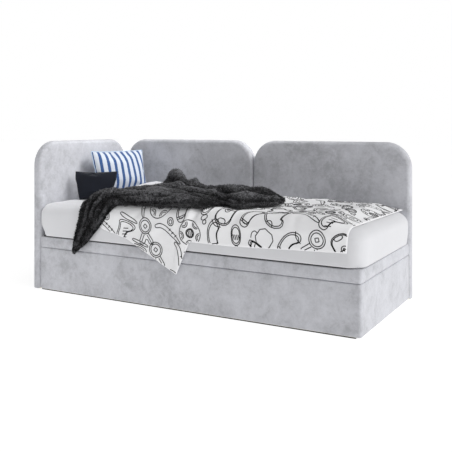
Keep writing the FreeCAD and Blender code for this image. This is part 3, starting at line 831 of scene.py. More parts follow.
def bulge_sides(v, low, high, crown, seed):
    """Belly the sides out at mid height, crown the top and add soft pulls in the cloth."""
    t = np.clip((v[:, 2] - low[2]) / (high[2] - low[2]), 0, 1)
    belly = crown * (np.sin(math.pi * t) - 0.6)
    for axis in (0, 1):
        near_low = smoothstep(0.12, 0.0, v[:, axis] - low[axis])
        near_high = smoothstep(0.12, 0.0, high[axis] - v[:, axis])
        v[:, axis] += belly * (near_high - near_low)
    v[:, 0] += 0.024 * smoothstep(0.085, 0.0, v[:, 2] - low[2]) * smoothstep(0.12, 0.0, v[:, 0] - low[0])
    on_top = smoothstep(0.6, 1.0, t)
    v[:, 2] -= smoothstep(0.3, 1.0, t) * foot_drop(v[:, 0])
    v[:, 2] += on_top * 0.003 * fractal(v, 0.35, seed, 3)
    side = smoothstep(0.0, 0.25, t) * (1 - smoothstep(0.75, 1.0, t))
    pulls = 0.0016 * fractal(v, 0.16, seed + 3, 3, stretch=(0.7, 0.7, 1.8))
    outward = np.sign(v[:, 1] - (low[1] + high[1]) / 2)
    v[:, 1] += side * pulls * outward * (np.abs(v[:, 1] - (low[1] + high[1]) / 2) > 0.38)
    v[:, 0] += side * pulls * (v[:, 0] > high[0] - 0.08)


# Top of the black sheet that paints the shade line under the mattress's edge; the mattress rests on it.
SHADE_SHEET_TOP = 0.0062                # above the platform's boards


def make_mattress():
    low, high = SHEET_LOW.copy(), SHEET_HIGH.copy()
    low[0] -= 0.006
    low[2] += SHADE_SHEET_TOP
    sheet = soft_slab("fitted_sheet_soft", low, high, (0.032, 0.085, 0.085, 0.032), 0.062, 0.009, 0.007, 41)
    finish_piece(sheet, "platform", SHEET_CLOTH, "white_sheet", "fitted_sheet", "mattress")
    make_shade_sheet()


def make_shade_sheet():
    """A thin black sheet between the platform and the mattress, placed as painted shade: it darkens the line
    under the mattress's edge, where only shade falls.
    """
    low = np.array([BAND_LOW[0] + 0.01, -0.001, BAND_HIGH[2] + 0.0016])
    high = np.array([BAND_HIGH[0] - 0.012, BAND_HIGH[1] - 0.01, BAND_HIGH[2] + SHADE_SHEET_TOP])
    radii = (0.02, 0.088, 0.088, 0.02)
    outline = ring(rounded_outline(high[0] - low[0], high[1] - low[1], 0, radii, (40, 24)))
    count = len(outline)
    vertices = [(*(p + low[:2]), z) for z in (low[2], high[2]) for p in outline]
    faces = [tuple(reversed(range(count))), tuple(range(count, 2 * count))]
    faces += [(j, (j + 1) % count, count + (j + 1) % count, count + j) for j in range(count)]
    shade_sheet = mesh_object("painted_shade_sheet", np.array(vertices) + SHIFT, faces)
    shade_sheet.data.shade_flat()
    finish_piece(shade_sheet, "platform", LINING, "back_lining")


# --- Quilt ---
QUILT_START = DUVET_LOW[0] - 0.01
QUILT_BACK = DUVET_HIGH[1]
QUILT_FACE = -0.014             # inner side of the hanging part, in front of the mattress
QUILT_EDGE_RADIUS = 0.060
FOOT_EDGE = ((0.0, 2.010), (0.80, 1.990), (1.05, 1.968))
HEM_POINTS = ((0.45, 0.44), (0.50, 0.400), (0.68, 0.358), (0.78, 0.310), (1.028, 0.190),
              (1.055, 0.250), (1.112, 0.374), (1.35, 0.372), (1.60, 0.380), (1.98, 0.392))


def quilt_length(x):
    """Length of cloth from the back edge to the front hem, at x."""
    hem = np.interp(x, *zip(*HEM_POINTS))
    top_run = QUILT_BACK - (QUILT_FACE + QUILT_EDGE_RADIUS)
    drop = MATTRESS_TOP - QUILT_EDGE_RADIUS - hem
    return top_run + QUILT_EDGE_RADIUS * math.pi / 2 + drop


def quilt_base(x, t):
    """Where the cloth's inner side lies, and its outward direction, at distance t from the back edge."""
    r = QUILT_EDGE_RADIUS
    centre_y, centre_z = QUILT_FACE + r, MATTRESS_TOP + 0.003 - r
    run = QUILT_BACK - centre_y
    angle = np.clip((t - run) / r, 0, math.pi / 2)
    on_top = np.minimum(t, run)
    down = np.maximum(t - run - r * math.pi / 2, 0)
    y = QUILT_BACK - on_top - r * np.sin(angle)
    z = centre_z + r * np.cos(angle) - down - foot_drop(x) * np.cos(angle)
    normal = np.stack([np.zeros_like(t), -np.sin(angle), np.cos(angle)], axis=-1)
    return np.stack([x, y, z], axis=-1), normal


def crease(x, y, start, end, width):
    """1 on the segment between two plan points, fading across it and towards its ends."""
    (x0, y0), (x1, y1) = start, end
    length = math.hypot(x1 - x0, y1 - y0)
    along = ((x - x0) * (x1 - x0) + (y - y0) * (y1 - y0)) / length ** 2
    across = ((x - x0) * (y1 - y0) - (y - y0) * (x1 - x0)) / length
    ridge = np.exp(-(across / width) ** 2)
    return ridge * smoothstep(-0.15, 0.2, along) * (1 - smoothstep(0.8, 1.15, along))


# Soft ridges (+) and valleys (-) pressed into the quilt: start and end in plan, width, height.
QUILT_CREASES = (
    ((1.02, 0.77), (1.44, 0.79), 0.055, 0.022),
    ((1.22, 0.50), (1.52, 0.80), 0.022, -0.016),
    ((1.36, 0.50), (1.62, 0.76), 0.040, 0.007),
    ((1.10, -0.08), (1.17, 0.12), 0.020, -0.010),
    ((1.17, 0.12), (1.50, 0.42), 0.018, -0.010),
    ((1.08, -0.06), (1.14, 0.22), 0.024, 0.010),
    ((1.55, 0.10), (1.85, 0.48), 0.030, -0.006),
    ((1.66, 0.02), (1.95, 0.36), 0.045, 0.006),
    ((0.56, -0.18), (0.80, 0.02), 0.020, -0.006),
    ((0.66, -0.26), (0.95, -0.02), 0.026, 0.006),
    ((0.98, -0.34), (1.02, -0.05), 0.018, -0.005),
    ((1.30, -0.16), (1.42, 0.10), 0.022, -0.004),
    ((1.72, -0.16), (1.70, 0.06), 0.024, -0.004),
)


def quilt_folds(x, t):
    """How far soft folds lift the quilt; y is counted on through the hanging part."""
    y = QUILT_BACK - t
    place = np.stack([x, t, np.zeros_like(x)], axis=-1)
    lift = 0.006 * fractal(place, 0.30, 51, 3)
    lift -= 0.004 * np.abs(fractal(place, 0.15, 57, 3, stretch=(1.5, 0.8, 1)))
    for start, end, width, height in QUILT_CREASES:
        lift += height * crease(x, y, start, end, width)
    hanging = smoothstep(0.86, 1.15, t)
    return lift + hanging * (0.005 * np.sin(x * 17.0 + 1.2) + 0.003 * np.sin(x * 31 + 0.5))


def make_quilt():
    columns, rows = 230, 170
    s = np.linspace(0, 1, columns)
    v = np.linspace(0, 1, rows)
    widest = FOOT_EDGE[0][1]
    total = quilt_length(QUILT_START + s * (widest - QUILT_START))
    t_grid = v[:, None] * total[None, :]
    foot = np.interp(t_grid, *zip(*FOOT_EDGE))
    x_grid = QUILT_START + s[None, :] * (foot - QUILT_START)
    base, normal = quilt_base(x_grid, t_grid)
    border = np.minimum(np.minimum(x_grid - QUILT_START, foot - x_grid),
                        np.minimum(t_grid, total[None, :] - t_grid))
    thin, full, hanging_less, rim_width, underside = 0.003, 0.028, 0.015, 0.012, 0.0005
    round_rim = np.sqrt(np.clip(border / rim_width, 0, 1))
    loft = full - hanging_less * smoothstep(0.76, 0.92, t_grid)
    settle = smoothstep(0.0, 0.13, border)
    height = thin + round_rim * (thin + (loft - thin + quilt_folds(x_grid, t_grid)) * settle)
    height = np.maximum(height, thin)
    outer = base + normal * height[..., None]
    inner = base + normal * underside
    obj = closed_sheet("quilt", outer, inner)
    finish_piece(obj, "platform", PRINTED, "printed_cotton", "duvet")
    return outer, x_grid, t_grid


# --- Line drawings printed on the quilt ---
def loop(points, closed=True, rounds=2):
    """Round a polyline's corners by cutting them, so that it looks drawn by hand."""
    points = np.array(points, float)
    for _ in range(rounds):
        after = np.roll(points, -1, axis=0) if closed else points[1:]
        before = points if closed else points[:-1]
        cut = np.stack([before * 0.75 + after * 0.25, before * 0.25 + after * 0.75], axis=1).reshape(-1, 2)
        points = cut if closed else np.concatenate([points[:1], cut, points[-1:]])
    return np.concatenate([points, points[:1]]) if closed else points


def circle(cx, cy, r, n, start=0, end=360):
    return arc(cx, cy, r, start, end, n)


def rectangle(x0, y0, x1, y1):
    return loop([(x0, y0), (x1, y0), (x1, y1), (x0, y1)], rounds=1)


def doubled(points, ratio, rounds=2):
    """An outline and a smaller copy inside it."""
    points = np.array(points, float)
    middle = points.mean(axis=0)
    return [loop(points, rounds=rounds), loop(middle + (points - middle) * ratio, rounds=rounds)]


def hatch(x0, x1, y0, y1, count):
    slant = 0.05
    return [np.array([(x, y0), (x + slant, y1)]) for x in np.linspace(x0, x1, count)]


def drawing_field():
    lines = doubled([(-0.33, -0.52), (0.33, -0.52), (0.35, 0), (0.33, 0.52), (-0.33, 0.52), (-0.35, 0)], 0.92)
    lines += [np.array([(-0.31, 0.0), (0.31, 0.0)]), circle(0, 0, 0.12, 16), circle(0, 0, 0.05, 10)]
    for sign in (-1, 1):
        goal = np.array([(-0.15, 0.47), (-0.14, 0.34), (0.14, 0.34), (0.15, 0.47)]) * (1, sign)
        lines.append(loop(goal, False, 1))
    return lines


def drawing_ball():
    lines = [circle(0, 0, 0.48, 30), circle(0, 0, 0.18, 14), circle(0, 0, 0.14, 14)]
    lines += hatch(-0.09, 0.06, -0.1, 0.1, 3)
    for k in range(5):
        a = math.radians(18 + 72 * k)
        c, s = math.cos(a), math.sin(a)
        lines.append(circle(0.46 * c, 0.46 * s, 0.17, 9, math.degrees(a) + 110, math.degrees(a) + 250))
        lines.append(circle(0.46 * c, 0.46 * s, 0.11, 7, math.degrees(a) + 115, math.degrees(a) + 245))
    return lines


def drawing_mitten():
    lines = [loop([(-0.30, -0.44), (0.28, -0.44), (0.32, 0.14), (-0.32, 0.16)], True, 1)]
    lines += doubled([(-0.42, 0.18), (0.36, 0.16), (0.40, 0.42), (-0.36, 0.45)], 0.82, 1)
    lines += hatch(-0.30, 0.26, 0.22, 0.38, 5)
    lines.append(loop([(-0.42, 0.16), (-0.50, -0.02), (-0.42, -0.16), (-0.31, -0.12)], False))
    return lines


def drawing_boot():
    lines = doubled([(-0.34, 0.46), (0.06, 0.52), (0.10, 0.12), (0.44, -0.06), (0.50, -0.30), (-0.30, -0.34),
                     (-0.26, 0.0)], 0.80)
    lines.append(loop([(-0.34, -0.40), (0.54, -0.36), (0.50, -0.48), (-0.30, -0.52)]))
    lines += [np.array([(-0.06, y), (0.16, y - 0.08)]) for y in (0.38, 0.26, 0.14, 0.02)]
    return lines


def drawing_sock():
    lines = doubled([(-0.22, 0.50), (0.18, 0.50), (0.15, 0.0), (0.42, -0.26), (0.28, -0.50), (-0.04, -0.38),
                     (-0.22, -0.06)], 0.80)
    lines += [np.array([(-0.21, 0.38), (0.17, 0.38)]), np.array([(-0.21, 0.32), (0.16, 0.32)])]
    lines.append(loop([(0.08, -0.47), (0.18, -0.28), (0.42, -0.22)], False))
    return lines


def drawing_whistle():
    x, y = -0.14, -0.08
    lines = [circle(x, y, 0.30, 22, 60, 372), circle(x, y, 0.21, 18), circle(x, y, 0.08, 10)]
    lines.append(loop([(0.0, 0.18), (0.50, 0.24), (0.52, 0.0), (0.15, -0.06)], False, 1))
    lines += [circle(-0.38, 0.32, 0.10, 12), np.array([(0.3, 0.20), (0.32, 0.02)])]
    return lines


def drawing_medal():
    lines = [circle(0, -0.2, 0.29, 24), circle(0, -0.2, 0.22, 20), circle(0, -0.2, 0.09, 5)]
    lines.append(loop([(-0.14, 0.04), (-0.34, 0.48), (-0.08, 0.50), (0.06, 0.22), (0.18, 0.50), (0.38, 0.44),
                       (0.16, 0.04)], False, 1))
    lines += [np.array([(-0.21, 0.44), (-0.04, 0.12)]), np.array([(0.26, 0.44), (0.1, 0.12)])]
    return lines


def drawing_shirt():
    lines = doubled([(-0.18, 0.44), (0.18, 0.44), (0.50, 0.22), (0.40, 0.02), (0.27, 0.12), (0.27, -0.46),
                     (-0.27, -0.46), (-0.27, 0.12), (-0.40, 0.02), (-0.50, 0.22)], 0.86, 1)
    lines += [circle(0, 0.44, 0.14, 9, 180, 360), np.array([(-0.25, -0.30), (0.25, -0.30)])]
    return lines


def drawing_flask():
    lines = doubled([(-0.20, -0.52), (0.20, -0.52), (0.20, 0.22), (-0.20, 0.22)], 0.8)
    lines += [rectangle(-0.12, 0.24, 0.12, 0.38), rectangle(-0.07, 0.39, 0.07, 0.50)]
    lines += hatch(-0.12, 0.10, -0.18, 0.02, 4)
    return lines


def drawing_stick():
    lines = [loop([(0.36, 0.54), (0.46, 0.48), (-0.06, -0.40), (-0.44, -0.44), (-0.46, -0.30),
                   (-0.16, -0.26)])]
    lines += [np.array([(0.22 - 0.08 * k, 0.22 - 0.14 * k), (0.32 - 0.08 * k, 0.17 - 0.14 * k)])
              for k in range(3)]
    lines += [circle(0.24, -0.34, 0.13, 14), circle(0.24, -0.34, 0.07, 10)]
    return lines


DRAWINGS = (drawing_field, drawing_mitten, drawing_ball, drawing_boot, drawing_sock, drawing_whistle,
            drawing_medal, drawing_shirt, drawing_flask, drawing_stick)
PRINT_PITCH = 0.143


def print_places(x_end, length):
    """Places, turns and sizes of the drawings on the flat cloth, on an uneven staggered grid."""
    chance = np.random.RandomState(7)
    places = []
    for row in range(int(length / PRINT_PITCH) + 2):
        for column in range(int((x_end - QUILT_START) / PRINT_PITCH) + 2):
            x = QUILT_START + (column + 0.5 * (row % 2)) * PRINT_PITCH + chance.uniform(-0.008, 0.008)
            t = row * PRINT_PITCH * 0.93 + chance.uniform(-0.008, 0.008)
            kind = (3 * column + 7 * row + chance.randint(0, 2)) % len(DRAWINGS)
            places.append((x, t, chance.uniform(-0.7, 0.7), chance.uniform(0.136, 0.149), kind))
    return places


def resample(line, step):
    """Points along a polyline at an even distance."""
    gaps = np.linalg.norm(np.diff(line, axis=0), axis=1)
    reach = np.concatenate([[0], np.cumsum(gaps)])
    count = max(2, int(reach[-1] / step) + 1)
    at = np.linspace(0, reach[-1], count)
    return np.stack([np.interp(at, reach, line[:, k]) for k in (0, 1)], axis=-1)


def on_quilt(points, outer, normals, t_grid):
    """Places and directions on the quilt's outer side for flat points (x, t), and which lie on it."""
    rows, columns = outer.shape[:2]
    x, t = points[:, 0], points[:, 1]
    foot = np.interp(t, *zip(*FOOT_EDGE))
    u = (x - QUILT_START) / (foot - QUILT_START) * (columns - 1)
    length = np.interp(u, np.arange(columns), t_grid[-1])
    v = t / length * (rows - 1)
    margin = 0.6
    inside = (u > margin) & (u < columns - 1 - margin) & (v > margin) & (v < rows - 1 - margin)
    return bilinear(outer, v, u), bilinear(normals, v, u), inside


def make_print(outer, x_grid, t_grid):
    """Thin raised strips of ink: each has a flat top and a keel sunk in the cloth."""
    normals = upward_normals(outer)
    half, lift, keel = 0.0024, 0.0006, 0.0012
    vertices, faces = [], []
    for px, pt, turn, size, kind in print_places(x_grid.max(), t_grid.max()):
        c, s = math.cos(turn), math.sin(turn)
        spin = np.array([[c, s], [-s, c]])
        for line in DRAWINGS[kind]():
            flat = resample(line @ spin * size + (px, pt), 0.006)
            place, normal, inside = on_quilt(flat, outer, normals, t_grid)
            run = []
            for k in range(len(flat) + 1):
                if k < len(flat) and inside[k]:
                    run.append(k)
                    continue
                if len(run) > 1:
                    add_strip(vertices, faces, place[run], normal[run], half, lift, keel)
                run = []
    obj = mesh_object("quilt_print", np.array(vertices) + SHIFT, faces)
    obj.data.shade_flat()
    finish_piece(obj, "platform", INK, "printed_cotton")


def add_strip(vertices, faces, place, normal, half, lift, keel):
    along = np.gradient(place, axis=0)
    across = unit(np.cross(normal, along))
    start = len(vertices)
    for p, n, a in zip(place, normal, across):
        vertices.extend((p + a * half + n * lift, p - a * half + n * lift, p - n * keel))
    for k in range(len(place) - 1):
        i = start + 3 * k
        for a, b in ((0, 1), (1, 2), (2, 0)):
            faces.append((i + a, i + b, i + 3 + b, i + 3 + a))
    last = start + 3 * (len(place) - 1)
    faces.append((start, start + 2, start + 1))
    faces.append((last, last + 1, last + 2))


# --- Fur throw ---
# Cross lines of the throw, from the hanging tip over the front edge and along the bed to its far
# end. Each line runs from the front edge of the fur to its back edge. Millimetres.
THROW_LINES = (
    ((306, -29, 250), (302, -30, 248), (298, -32, 247), (294, -30, 248), (290, -29, 252)),
    ((336, -26, 275), (323, -34, 276), (310, -32, 278), (298, -34, 281), (286, -26, 287)),
    ((392, -24, 315), (368, -37, 320), (345, -34, 325), (322, -37, 332), (298, -24, 342)),
    ((466, -24, 392), (428, -40, 400), (392, -35, 408), (355, -40, 418), (318, -22, 430)),
    ((520, -26, 450), (474, -42, 462), (428, -37, 474), (382, -40, 488), (336, -19, 504)),
    ((566, -27, 505), (512, -40, 526), (458, -29, 546), (404, -18, 566), (350, -3, 552)),
    ((612, -32, 542), (560, -20, 578), (500, 20, 598), (430, 60, 606), (356, 50, 560)),
    ((700, -26, 553), (630, 10, 594), (530, 80, 602), (425, 140, 602), (330, 130, 562)),
    ((800, -20, 556), (725, 40, 600), (590, 150, 606), (435, 250, 600), (275, 250, 562)),
    ((905, -14, 558), (810, 70, 604), (670, 225, 610), (500, 380, 612), (280, 410, 562)),
    ((1000, -10, 560), (905, 100, 606), (765, 285, 612), (590, 470, 640), (400, 570, 562)),
    ((1085, -4, 563), (995, 130, 604), (840, 330, 614), (655, 515, 676), (510, 670, 562)),
    ((1160, 12, 566), (1075, 150, 602), (930, 350, 608), (755, 525, 632), (630, 725, 562)),
    ((1178, 110, 570), (1130, 195, 600), (1010, 370, 604), (865, 525, 626), (755, 740, 562)),
    ((1228, 150, 570), (1200, 220, 602), (1100, 380, 606), (985, 525, 622), (880, 740, 562)),
    ((1345, 40, 568), (1305, 135, 602), (1200, 340, 604), (1085, 525, 628), (1000, 730, 562)),
    ((1395, 170, 570), (1360, 245, 600), (1285, 395, 600), (1200, 530, 618), (1120, 710, 562)),
    ((1475, 280, 570), (1445, 335, 596), (1375, 440, 592), (1305, 540, 604), (1240, 670, 562)),
    ((1452, 420, 568), (1440, 450, 584), (1410, 500, 582), (1375, 550, 582), (1330, 620, 564)),
)

# Long valleys in the throw: rows along it, place across it (0 front, 1 back), strength, width, depth.
THROW_VALLEYS = (
    ((3, 6, 9, 11, 12.5, 14), (0.55, 0.60, 0.53, 0.43, 0.30, 0.12), (0.4, 1, 1, 1, 1, 0.3), 0.060, 0.034),
    ((9.5, 11, 12.5, 15, 17.5), (0.70, 0.66, 0.57, 0.51, 0.45), (0, 1, 1, 1, 0.3), 0.055, 0.034),
    ((5, 7, 9, 11), (0.24, 0.28, 0.25, 0.16), (0.3, 1, 0.8, 0), 0.045, 0.018),
    ((0.5, 3, 5.5, 7.5), (0.48, 0.42, 0.36, 0.40), (0.2, 1, 1, 0), 0.070, 0.016),
    ((1, 4, 6, 8), (0.76, 0.74, 0.80, 0.84), (0.2, 1, 1, 0.2), 0.055, 0.016),
    ((13.2, 15, 17.5), (0.20, 0.26, 0.20), (0.2, 1, 0), 0.050, 0.022),
    ((12, 14, 16.5), (0.80, 0.76, 0.72), (0, 1, 0), 0.050, 0.026),
    ((7, 9, 10.5), (0.76, 0.80, 0.82), (0, 1, 0), 0.055, 0.022),
)

# Puffy lumps on the throw: row, place across, reach along, reach across, height.
THROW_LUMPS = (
    (11.0, 0.78, 0.42, 0.10, 0.030),
    (12.3, 0.78, 0.30, 0.08, 0.016),
    (6.6, 0.45, 0.60, 0.14, 0.008),
    (15.2, 0.80, 0.70, 0.09, 0.010),
    (9.2, 0.36, 1.20, 0.09, 0.008),
    (15.6, 0.36, 0.90, 0.08, 0.010),
)


def smooth_grid(grid, steps):
    """A finer grid of points, by Catmull-Rom curves in both directions."""
    for axis in (0, 1):
        grid = np.moveaxis(spline_rows(np.moveaxis(grid, axis, 0), steps), 0, axis)
    return grid


def spline_rows(points, steps):
    """A Catmull-Rom curve through the rows of points, with `steps` pieces between two rows."""
    padded = np.concatenate([2 * points[:1] - points[1:2], points, 2 * points[-1:] - points[-2:-1]])
    made = []
    for i in range(len(points) - 1):
        p0, p1, p2, p3 = padded[i:i + 4]
        for t in np.arange(steps) / steps:
            made.append(0.5 * (2 * p1 + (p2 - p0) * t + (2 * p0 - 5 * p1 + 4 * p2 - p3) * t ** 2
                               + (3 * p1 - p0 - 3 * p2 + p3) * t ** 3))
    made.append(points[-1])
    return np.array(made)


def make_throw():
    outer = smooth_grid(np.array(THROW_LINES) / 1000, 14)
    outer = np.moveaxis(spline_rows(np.moveaxis(outer, 1, 0)[::2], 4), 0, 1)
    normals = upward_normals(outer)
    rows, columns = outer.shape[:2]
    u = np.broadcast_to(np.linspace(0, 1, rows)[:, None], (rows, columns))
    v = np.broadcast_to(np.linspace(0, 1, columns)[None, :], (rows, columns))
    edge = np.minimum(np.minimum(u, 1 - u) * 7, np.minimum(v, 1 - v) * 5)
    settle = smoothstep(0.0, 0.6, edge)
    flat = np.stack([u * 1.9, v * 0.75, np.zeros_like(u)], axis=-1)
    sway = 0.035 * fractal(flat, 0.30, 61, 2)
    row = u * (len(THROW_LINES) - 1)
    valleys = np.zeros_like(u)
    for at_rows, at_v, strength, width, depth in THROW_VALLEYS:
        distance = (v + sway - np.interp(row, at_rows, at_v)) / width
        power = np.interp(row, at_rows, strength, left=0, right=0)
        trough = 0.75 * np.exp(-np.abs(distance) ** 1.4) - 0.30 * np.exp(-(distance / 2.6) ** 2)
        valleys += power * depth * trough
    for at_row, at_v, row_reach, v_reach, height in THROW_LUMPS:
        valleys -= height * np.exp(-((row - at_row) / row_reach) ** 2 - ((v - at_v) / v_reach) ** 2)
    folds = np.abs(fractal(flat, 0.13, 75, 2, stretch=(1.7, 0.9, 1)))
    wrinkles = fractal(outer, 0.05, 65, 3, stretch=(1.3, 0.9, 1))
    lift = (0.030 * folds ** 0.8 - 0.012 - 1.9 * valleys + 0.007 * wrinkles) * settle
    outer = outer + normals * lift[..., None]
    lowest = MATTRESS_TOP + 0.040 + 0.012 * settle
    outer[..., 2] = np.where(outer[..., 1] > 0.02, np.maximum(outer[..., 2], lowest), outer[..., 2])
    hang_front, give = -0.043, 0.007
    past = np.maximum(hang_front - outer[..., 1], 0)
    outer[..., 1] += past - give * np.tanh(past / give)
    normals = upward_normals(outer)
    outer = outer + normals * (0.0022 * fractal(outer, 0.02, 71, 3))[..., None]
    skin = 0.010
    obj = closed_sheet("fur_throw", outer, outer - normals * skin)
    finish_piece(obj, "platform", FUR, "black_fur", "throw_blanket")
    # Painted shade and painted highlight for the fur's colour: darker in the valleys, lighter on the ridges,
    # and lighter where the fur hangs upright than where it lies flat, with random patches mixed in.
    valley_shade = 20 * np.maximum(valleys, 0)
    patches_and_facing_shade = 0.10 * fractal(flat, 0.22, 97, 2) + 0.10 * (0.35 - normals[..., 2])
    painted_shade_and_patches = np.clip(0.47 + 0.36 * np.tanh((lift - np.median(lift)) / 0.026) + patches_and_facing_shade - valley_shade, 0, 1)
    store_number(obj, "painted_shade_and_patches", np.concatenate([painted_shade_and_patches.ravel(), painted_shade_and_patches.ravel()]))
    return obj, make_pile(outer, normals, painted_shade_and_patches)


def make_pile(outer, normals, painted_shade_and_patches):
    """Short tapered hairs over the throw, leaning the way the fur was stroked."""
    chance = np.random.RandomState(5)
    rows, columns = outer.shape[:2]
    count = 46000
    u = chance.uniform(0, rows - 1.001, count)
    v = chance.uniform(0, columns - 1.001, count)
    root, normal = bilinear(outer, u, v), bilinear(normals, u, v)
    flow = np.stack([np.full(count, 0.5), -np.full(count, 0.6), -np.full(count, 0.35)], axis=-1)
    flow += 0.5 * np.stack([fractal(root, 0.09, 80 + k, 2) for k in range(3)], axis=-1)
    flow += chance.normal(0, 0.25, (count, 3))
    lean = unit(normal * chance.uniform(0.35, 0.9, (count, 1)) + flow)
    length = chance.uniform(0.006, 0.0115, (count, 1))
    side = unit(np.cross(lean, normal))
    third = np.cross(lean, side)
    width = 0.0013
    tip = root + lean * length
    base = root - normal * 0.002
    corners = [base + side * width, base - side * width * 0.5 + third * width * 0.87,
               base - side * width * 0.5 - third * width * 0.87, tip]
    vertices = np.stack(corners, axis=1).reshape(-1, 3) + SHIFT
    start = np.arange(count)[:, None] * 4
    faces = np.concatenate([start + f for f in ((0, 1, 3), (1, 2, 3), (2, 0, 3), (2, 1, 0))])
    obj = mesh_object("fur_throw_pile", vertices, faces)
    tufts = 0.4 * fractal(root, 0.016, 90, 2) + chance.normal(0, 0.16, count)
    # Each hair takes the painted shade and painted highlight of the fur under it, with random tufts added.
    height = bilinear(painted_shade_and_patches[..., None], u, v)[:, 0]
    shade = np.clip(height + tufts * (0.35 + height), 0, 1)
    store_number(obj, "painted_shade_and_patches", np.repeat(shade, 4))
    return finish_piece(obj, "platform", FUR, "black_fur")


# --- Cushions ---
STRIPED_WIDTH = 0.45


def inflated(name, width, height, thickness, columns, rows, fullness, taper=0.0):
    """A sewn cushion: two flat faces joined at their border and blown up as cloth.
    fullness: how much of its pull-in is taken back, across and up. taper: how much narrower the foot is."""
    across = np.linspace(-width / 2, width / 2, columns)
    up = np.linspace(-height / 2, height / 2, rows)
    grid = np.stack(np.broadcast_arrays(across[None, :], 0.0, up[:, None]), axis=-1)
    border = np.zeros((rows, columns), bool)
    border[[0, -1], :] = True
    border[:, [0, -1]] = True
    index_front = np.arange(rows * columns).reshape(rows, columns)
    index_back = index_front.copy()
    index_back[~border] = rows * columns + np.arange((~border).sum())
    start = 0.004
    front = grid.copy()
    front[..., 1] -= np.where(border, 0, start)
    back = grid.copy()
    back[..., 1] += start
    vertices = np.concatenate([front.reshape(-1, 3), back[~border]])
    faces, flat = [], []
    for index, flip in ((index_front, False), (index_back, True)):
        for i in range(rows - 1):
            for j in range(columns - 1):
                face = [index[i, j], index[i, j + 1], index[i + 1, j + 1], index[i + 1, j]]
                (left, right), (low, high) = across[j:j + 2], up[i:i + 2]
                uv = [(left, low), (right, low), (right, high), (left, high)]
                faces.append(face[::-1] if flip else face)
                flat.extend(uv[::-1] if flip else uv)
    obj = mesh_object(name, vertices, faces)
    layer = obj.data.uv_layers.new(name="flat")
    layer.data.foreach_set("uv", np.array(flat).ravel())
    blow_up(obj)
    fit_thickness(obj, thickness)
    blown = read_points(obj)
    blown[:, [0, 2]] += (vertices[:, [0, 2]] - blown[:, [0, 2]]) * np.array(fullness)
    write_points(obj, blown)
    tapered = read_points(obj)
    tapered[:, 0] *= 1 + taper * np.clip(tapered[:, 2] / height, -0.5, 0.2)
    write_points(obj, tapered)
    return obj


def blow_up(obj):
    """Swell a closed mesh as cloth under pressure, without gravity, and keep the result."""
    frames = 28
    cloth = obj.modifiers.new("cloth", "CLOTH")
    settings = cloth.settings
    settings.quality = 8
    settings.mass = 0.15
    settings.tension_stiffness = 30
    settings.compression_stiffness = 30
    settings.shear_stiffness = 12
    settings.bending_stiffness = 0.4
    settings.use_pressure = True
    settings.uniform_pressure_force = 5.0
    settings.effector_weights.gravity = 0
    cloth.collision_settings.use_self_collision = False
    cloth.point_cache.frame_start = 1
    cloth.point_cache.frame_end = frames
    scene = bpy.context.scene
    for step in range(1, frames + 1):
        scene.frame_set(step)
    apply_modifiers(obj)
    scene.frame_set(1)


def fit_thickness(obj, thickness):
    """Scale the cushion's depth to its real thickness."""
    points = read_points(obj)
    points -= (points.max(axis=0) + points.min(axis=0)) / 2
    points[:, 1] *= thickness / (points[:, 1].max() - points[:, 1].min())
    write_points(obj, points)


def store_number(obj, name, values):
    obj.data.attributes.new(name, "FLOAT", "POINT").data.foreach_set("value", values)


def read_points(obj):
    points = np.empty(len(obj.data.vertices) * 3)
    obj.data.vertices.foreach_get("co", points)
    return points.reshape(-1, 3)


def write_points(obj, points):
    obj.data.vertices.foreach_set("co", np.asarray(points, float).ravel())
    obj.data.update()


def leaning(middle, heading):
    """Turn a cushion's width towards `heading` in plan and lean its top back."""
    lean = math.radians(15)
    turn = Matrix.Rotation(math.radians(heading), 4, "Z") @ Matrix.Rotation(-lean, 4, "X")
    return Matrix.Translation(Vector(middle) + Vector(SHIFT)) @ turn


def piping(name, points, radius):
    """A closed round cord through the points."""
    count, sides = len(points), 8
    along = unit(np.roll(points, -1, axis=0) - np.roll(points, 1, axis=0))
    first = unit(np.cross(along, points - points.mean(axis=0)))
    second = np.cross(along, first)
    vertices = []
    for k in range(count):
        for a in np.linspace(0, 2 * math.pi, sides, endpoint=False):
            vertices.append(points[k] + radius * (math.cos(a) * first[k] + math.sin(a) * second[k]))
    faces = []
    for k in range(count):
        for j in range(sides):
            n, m = (k + 1) % count, (j + 1) % sides
            faces.append((k * sides + j, n * sides + j, n * sides + m, k * sides + m))
    return mesh_object(name, vertices, faces)


def node_centre(node):
    low, high = working_box(node)
    return (low + high) / 2


def make_cushions():
    striped = inflated("striped_cushion_soft", STRIPED_WIDTH, 0.30, 0.13, 56, 40, (0.30, 0.85))
    cord = piping("striped_cushion_piping", read_points(striped)[rim(40, 56)], 0.0032)
    place = leaning(node_centre("striped_cushion") - (0.003, 0.012, 0), 76.4)
    for obj in (striped, cord):
        obj.data.transform(place)
    subdivide(striped)
    subdivide(cord)
    finish_piece(striped, "platform", STRIPED, "striped_cloth", "striped_cushion")
    finish_piece(cord, "platform", PIPING, "striped_cloth")

    dark = inflated("dark_cushion_soft", 0.258, 0.190, 0.10, 48, 34, (0.12, 0.3), 0.42)
    dark.data.transform(leaning(node_centre("dark_cushion") + (0.009, 0.005, -0.007), 29.6))
    subdivide(dark)
    finish_piece(dark, "platform", NAVY, "navy_cloth", "dark_cushion")

    pillow = inflated("pillow_soft", 0.37, 0.42, 0.105, 44, 50, (0.3, 0.3))
    middle = Vector(node_centre("pillow") + SHIFT + (-0.02, 0, 0.006))
    flat = Matrix.Translation(middle) @ Matrix.Rotation(math.radians(90), 4, "X")
    pillow.data.transform(flat)
    subdivide(pillow)
    finish_piece(pillow, "platform", SHEET_CLOTH, "white_sheet", "pillow")


